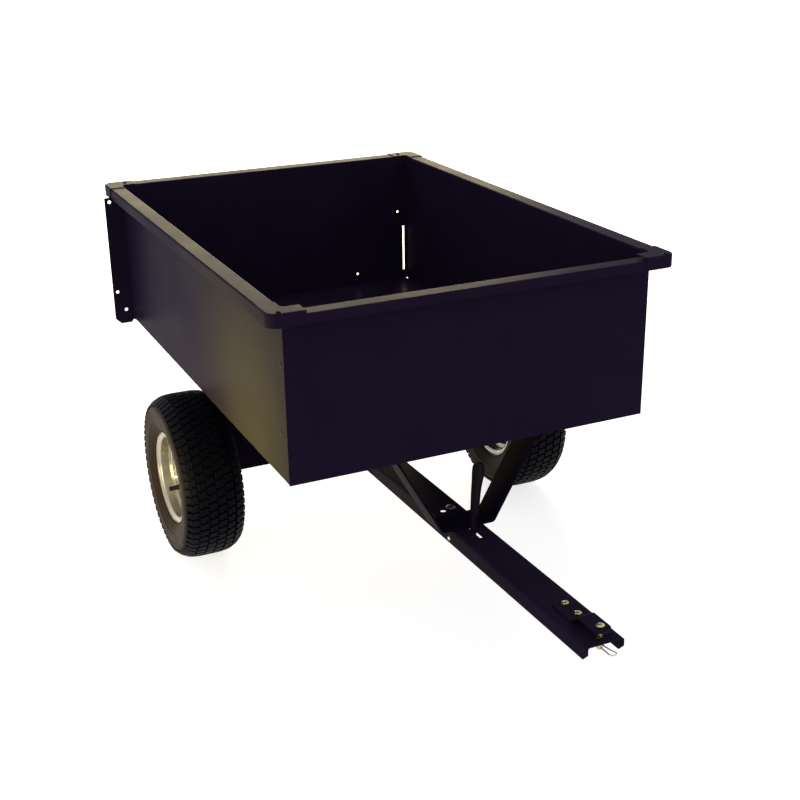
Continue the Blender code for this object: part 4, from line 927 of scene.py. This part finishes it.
# Rims and hubs
# Pressed steel rims with curled flanges and a dropped well, a dished disc welded in and a plain
# tube hub. They have a pale cream enamel, and a black snap-in rubber valve.
# Sprayed cream enamel with clouds of 40 mm and an orange peel drawn at 2.4 mm
enamel, *_ = mottled("cream_enamel_on_steel", {
    "Metallic": 0.75, "Coat Weight": 0.3, "Coat Roughness": 0.15},
    clouds=(26.0, 4.0), colours=("#8e897e", "#aeaa9e"), gloss=(0.18, 0.30), grain=(420.0, 2.0),
    bumps=(0.2, 0.0002))

RIM_SHEET = 0.0025
RIM_FOLD = 0.0024
HUB_START = 0.357
half = [
    (0.0282, 0.0872), (0.0312, 0.0984), (0.0530, 0.1004), (0.0556, 0.1050), (0.0566, 0.1098),
    (0.0600, 0.1114)]
barrel = folded([(-x, r) for x, r in reversed(half)] + half, RIM_SHEET, RIM_FOLD)
disc = folded([(0.0180, 0.0846), (0.0243, 0.0846), (0.0243, 0.0740), (0.0205, 0.0640),
               (0.0205, 0.0480), (0.0243, 0.0380), (0.0243, 0.0178)], RIM_SHEET, RIM_FOLD)
for word, side in SIDES:
    in_wheel = in_axle @ Matrix.Translation((side * WHEEL_X, 0.0, 0.0))
    body = word + "_wheel"
    shape = lathe([(side * x, r) for x, r in barrel], "X", 96, True)
    disc_mesh = bpy.data.meshes.new("disc")
    disc_shape = lathe([(side * x, r) for x, r in disc], "X", 96, True)
    disc_shape.to_mesh(disc_mesh)
    disc_shape.free()
    shape.from_mesh(disc_mesh)
    rim = made(word + "_wheel_rim", shape, (), in_wheel)
    dress(rim, body, enamel, [word + "_rim"])
    ends = sorted((side * (HUB_START + 2 * GAP - WHEEL_X), side * HUB_END))
    hub = made(word + "_hub_tube", tube(*ends, 0.0175, 64), (), in_wheel)
    dress(hub, body, enamel, [word + "_hub"], 0.0006)

# Valve stems
# Snap-in black rubber valves with a threaded cap, one through each disc.
# Moulded black rubber with a fine grain
stem_rubber, tree, shader = finish_of("moulded_valve_rubber", {"Specular IOR Level": 0.3})
place = add(tree, "ShaderNodeTexCoord").outputs["Object"]
grain = add(tree, "ShaderNodeTexNoise", {"Vector": place, "Scale": 700.0, "Detail": 2.0}).outputs["Fac"]
tint = add(tree, "ShaderNodeMix", {0: grain, 6: linear("#0c0a0c"), 7: linear("#191518")},
           data_type="RGBA")
tree.links.new(tint.outputs[2], shader.inputs["Base Color"])
gloss = add(tree, "ShaderNodeMapRange", {"Value": grain, "To Min": 0.5, "To Max": 0.7})
tree.links.new(gloss.outputs[0], shader.inputs["Roughness"])
STEM_FACE = 0.0258
stem = [(0.0176, 0.0042), (0.0180, 0.0060), (0.0227, 0.0080), (0.0227, 0.0052), (STEM_FACE, 0.0052),
        (STEM_FACE, 0.0078), (0.0275, 0.0076), (0.0312, 0.0066), (0.0440, 0.0051), (0.0447, 0.0051)]
for ridge in range(5):
    level = 0.0448 + ridge * 0.0013
    stem += [(level, 0.0059), (level + 0.0007, 0.0059), (level + 0.0008, 0.0055)]
stem += [(0.0522, 0.0055), (0.0528, 0.0044)]
STEM_OUT = 0.066
STEM_ANGLE = math.radians(50)
valve_y = STEM_OUT * math.cos(STEM_ANGLE)
valve_z = -STEM_OUT * math.sin(STEM_ANGLE)
for word, side in SIDES:
    valve = made(word + "_valve", lathe([(side * x, r) for x, r in stem], "X", 32), (),
                 in_axle @ Matrix.Translation((side * WHEEL_X, valve_y, valve_z)))
    dress(valve, word + "_wheel", stem_rubber, [word + "_valve_stem"])

# Tyres
# Tubeless turf tyres of black rubber, 406 mm across: six rows of small staggered hooked blocks
# moulded on a rounded crown, lugs on the shoulders and plain sidewalls with fine rings.
TYRE_RADIUS = 0.2032
TREAD_DEPTH = 0.006
CROWN_DROP = 0.0101
CROWN_REACH = 0.0603
CROWN_POWER = 3.85
BLOCKS_ROUND = 60
# Moulded black rubber: darkened on the tread as painted shade, and browned on the sidewalls inside
# 176 mm as painted warm light
rubber, cloud, shaded_tread_tint = mottled(
    "moulded_tyre_rubber", {"Specular IOR Level": 0.06}, clouds=(16.0, 5.0),
    colours=("#05040c", "#0b0914"), gloss=(0.46, 0.62), grain=(900.0, 2.0), bumps=(0.3, 0.0002))
tree = rubber.node_tree
lit_sidewall_tint = add(tree, "ShaderNodeMix", {0: cloud, 6: linear("#170e0b"), 7: linear("#2c2015")},
                data_type="RGBA")
from_axle = add(tree, "ShaderNodeVectorMath", {
    0: add(tree, "ShaderNodeTexCoord").outputs["Object"], 1: axle_centre}, operation="SUBTRACT")
across = add(tree, "ShaderNodeVectorMath", {0: from_axle.outputs[0], 1: (0.0, 1.0, 1.0)},
             operation="MULTIPLY")
radius = add(tree, "ShaderNodeVectorMath", {0: across.outputs[0]}, operation="LENGTH")
# Inside 176 mm the sidewall gets the painted warm light, outside it the tread gets the painted shade
outward = add(tree, "ShaderNodeMapRange", {"Value": radius.outputs["Value"], "From Min": 0.172,
                                           "From Max": 0.180})
tint = add(tree, "ShaderNodeMix", {0: outward.outputs[0], 6: lit_sidewall_tint.outputs[2], 7: shaded_tread_tint},
           data_type="RGBA")
tree.links.new(tint.outputs[2], tree.nodes["Principled BSDF"].inputs["Base Color"])


def tread_tree():
    """Tree that sets rows of tread blocks round a wheel, each row half a block on from the last."""
    tree, given = growing_tree("tread_blocks", {
        "Carcass": "Geometry", "Block": "Object", "Rows": "Int", "Blocks in a row": "Int",
        "Row spacing": "Float", "Tyre radius": "Float", "Crown drop": "Float",
        "Crown reach": "Float", "Crown power": "Float", "Rubber": "Material"}, "Tyre")

    # The sum for each block, a step at a time: its name, its operation and what it works on
    sums = dict(given.items())
    sums["index"] = add(tree, "GeometryNodeInputIndex").outputs[0]
    for name, operation, *terms in (
            ("count", "MULTIPLY", "Rows", "Blocks in a row"),
            ("rows before", "DIVIDE", "index", "Blocks in a row"), ("row", "FLOOR", "rows before"),
            ("odd row", "MODULO", "row", 2.0), ("stagger", "MULTIPLY", "odd row", 0.5),
            ("place", "ADD", "index", "stagger"), ("share", "DIVIDE", "place", "Blocks in a row"),
            ("angle", "MULTIPLY", "share", math.tau), ("gaps", "SUBTRACT", "Rows", 1.0),
            ("middle", "MULTIPLY", "gaps", 0.5), ("from middle", "SUBTRACT", "row", "middle"),
            ("out", "MULTIPLY", "from middle", "Row spacing"), ("far", "ABSOLUTE", "out"),
            ("reach", "DIVIDE", "far", "Crown reach"), ("fall", "POWER", "reach", "Crown power"),
            ("drop", "MULTIPLY", "fall", "Crown drop"), ("radius", "SUBTRACT", "Tyre radius", "drop"),
            ("less", "SUBTRACT", "Crown power", 1.0), ("steep", "POWER", "reach", "less"),
            ("rise", "MULTIPLY", "Crown drop", "Crown power"),
            ("grade", "DIVIDE", "rise", "Crown reach"), ("slope", "MULTIPLY", "steep", "grade"),
            ("tilt", "ARCTANGENT", "slope"), ("side", "SIGN", "out"),
            ("lean", "MULTIPLY", "tilt", "side"), ("cosine", "COSINE", "angle"),
            ("sine", "SINE", "angle"), ("y", "MULTIPLY", "radius", "cosine"),
            ("z", "MULTIPLY", "radius", "sine"), ("turn", "SUBTRACT", "angle", math.pi / 2)):
        terms = {index: sums.get(term, term) for index, term in enumerate(terms)}
        sums[name] = add(tree, "ShaderNodeMath", terms, operation=operation).outputs[0]
    spot = add(tree, "ShaderNodeCombineXYZ", {"X": sums["out"], "Y": sums["y"],
                                              "Z": sums["z"]}).outputs[0]
    line = add(tree, "GeometryNodeMeshLine", {"Count": sums["count"]})
    points = add(tree, "GeometryNodeSetPosition", {"Geometry": line.outputs[0], "Position": spot})
    around = add(tree, "ShaderNodeCombineXYZ", {"X": sums["turn"]})
    aslant = add(tree, "ShaderNodeCombineXYZ", {"Y": sums["lean"]})
    turn = add(tree, "FunctionNodeRotateRotation", {
        "Rotation": add(tree, "FunctionNodeEulerToRotation", {0: around.outputs[0]}).outputs[0],
        "Rotate By": add(tree, "FunctionNodeEulerToRotation", {0: aslant.outputs[0]}).outputs[0]},
        rotation_space="LOCAL")
    info = add(tree, "GeometryNodeObjectInfo", {"Object": given["Block"], "As Instance": True})
    blocks = add(tree, "GeometryNodeInstanceOnPoints", {
        "Points": points.outputs[0], "Instance": info.outputs["Geometry"],
        "Rotation": turn.outputs[0]})
    real = add(tree, "GeometryNodeRealizeInstances", {"Geometry": blocks.outputs[0]})
    both = add(tree, "GeometryNodeJoinGeometry")
    tree.links.new(given["Carcass"], both.inputs[0])
    tree.links.new(real.outputs[0], both.inputs[0])
    finished = add(tree, "GeometryNodeSetMaterial", {"Geometry": both.outputs[0],
                                                     "Material": given["Rubber"]})
    add(tree, "NodeGroupOutput", {0: finished.outputs[0]})
    return tree


grow_tread = tread_tree()

# A block is a hooked lozenge 19 mm across the tyre and 16 mm along it, with 4 mm grooves round it
HOOK = [
    (-0.0094, -0.0095), (-0.0008, -0.0095), (0.0008, -0.0065), (0.0094, -0.0065),
    (0.0094, 0.0095), (0.0008, 0.0095), (-0.0008, 0.0065), (-0.0094, 0.0065)]
LUG = [(-0.0075, -0.0070), (0.0062, -0.0070), (0.0062, 0.0070), (-0.0075, 0.0070)]


def tread_block(outline, depth):
    """Block with leaning walls and an eased top, its top at level 0."""
    rings = []
    for level, inset in ((-depth, -0.0008), (-0.0006, 0.0), (0.0, 0.0006)):
        rings.append([(x - math.copysign(inset, x), y - math.copysign(inset, y), level)
                      for x, y in outline])
    return swept(rings)


def crown(out):
    """Radius of the tread's top at a distance from the middle of the tyre."""
    return TYRE_RADIUS - CROWN_DROP * (abs(out) / CROWN_REACH) ** CROWN_POWER


outside = [(out, crown(out) - TREAD_DEPTH) for out in (0.0, 0.012, 0.024, 0.036, 0.046, 0.054, 0.060)]
outside += [
    (0.0650, 0.1802), (0.0690, 0.1795), (0.0712, 0.1765), (0.0722, 0.1730), (0.0726, 0.1700),
    (0.0734, 0.1690), (0.0735, 0.1660), (0.0728, 0.1650), (0.0732, 0.1600), (0.0731, 0.1550),
    (0.0726, 0.1500), (0.0720, 0.1450), (0.0722, 0.1440), (0.0719, 0.1415), (0.0706, 0.1405),
    (0.0696, 0.1350), (0.0672, 0.1290), (0.0646, 0.1240), (0.0630, 0.1215), (0.0628, 0.1195),
    (0.0612, 0.1175), (0.0594, 0.1160), (0.0575, 0.1135), (0.0544, 0.1095), (0.0544, 0.1019)]
inside = [
    (0.0424, 0.1019), (0.0424, 0.1125), (0.0672, 0.1424), (0.0672, 0.1647), (0.0540, 0.1841),
    (0.0000, 0.1935)]
section = [(-x, r) for x, r in reversed(outside[1:])] + outside + inside
section += [(-x, r) for x, r in reversed(inside[:-1])]
for word, side in SIDES:
    carcass = bpy.data.meshes.new("carcass")
    shape = lathe(section, "X", 120, True)
    shape.to_mesh(carcass)
    shape.free()
    carcass.shade_smooth()
    carcass.set_sharp_from_angle(angle=math.radians(50))
    for outline, depth, rows, spacing in ((HOOK, TREAD_DEPTH + 0.0015, 6, 0.022),
                                          (LUG, 0.009, 2, 0.133)):
        model = made("tread_block", tread_block(outline, depth))
        tyre = grown(word + "_turf_tyre", grow_tread, carcass, {
            "Block": model, "Rows": rows, "Blocks in a row": BLOCKS_ROUND, "Row spacing": spacing,
            "Tyre radius": TYRE_RADIUS, "Crown drop": CROWN_DROP, "Crown reach": CROWN_REACH,
            "Crown power": CROWN_POWER, "Rubber": rubber})
        carcass = tyre.data
        bpy.data.objects.remove(model)
        if rows > 2:
            bpy.data.objects.remove(tyre)
    tyre.data.transform(in_axle @ Matrix.Translation((side * WHEEL_X, 0.0, 0.0)))
    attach(tyre, word + "_wheel")
    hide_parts(word + "_tyre")
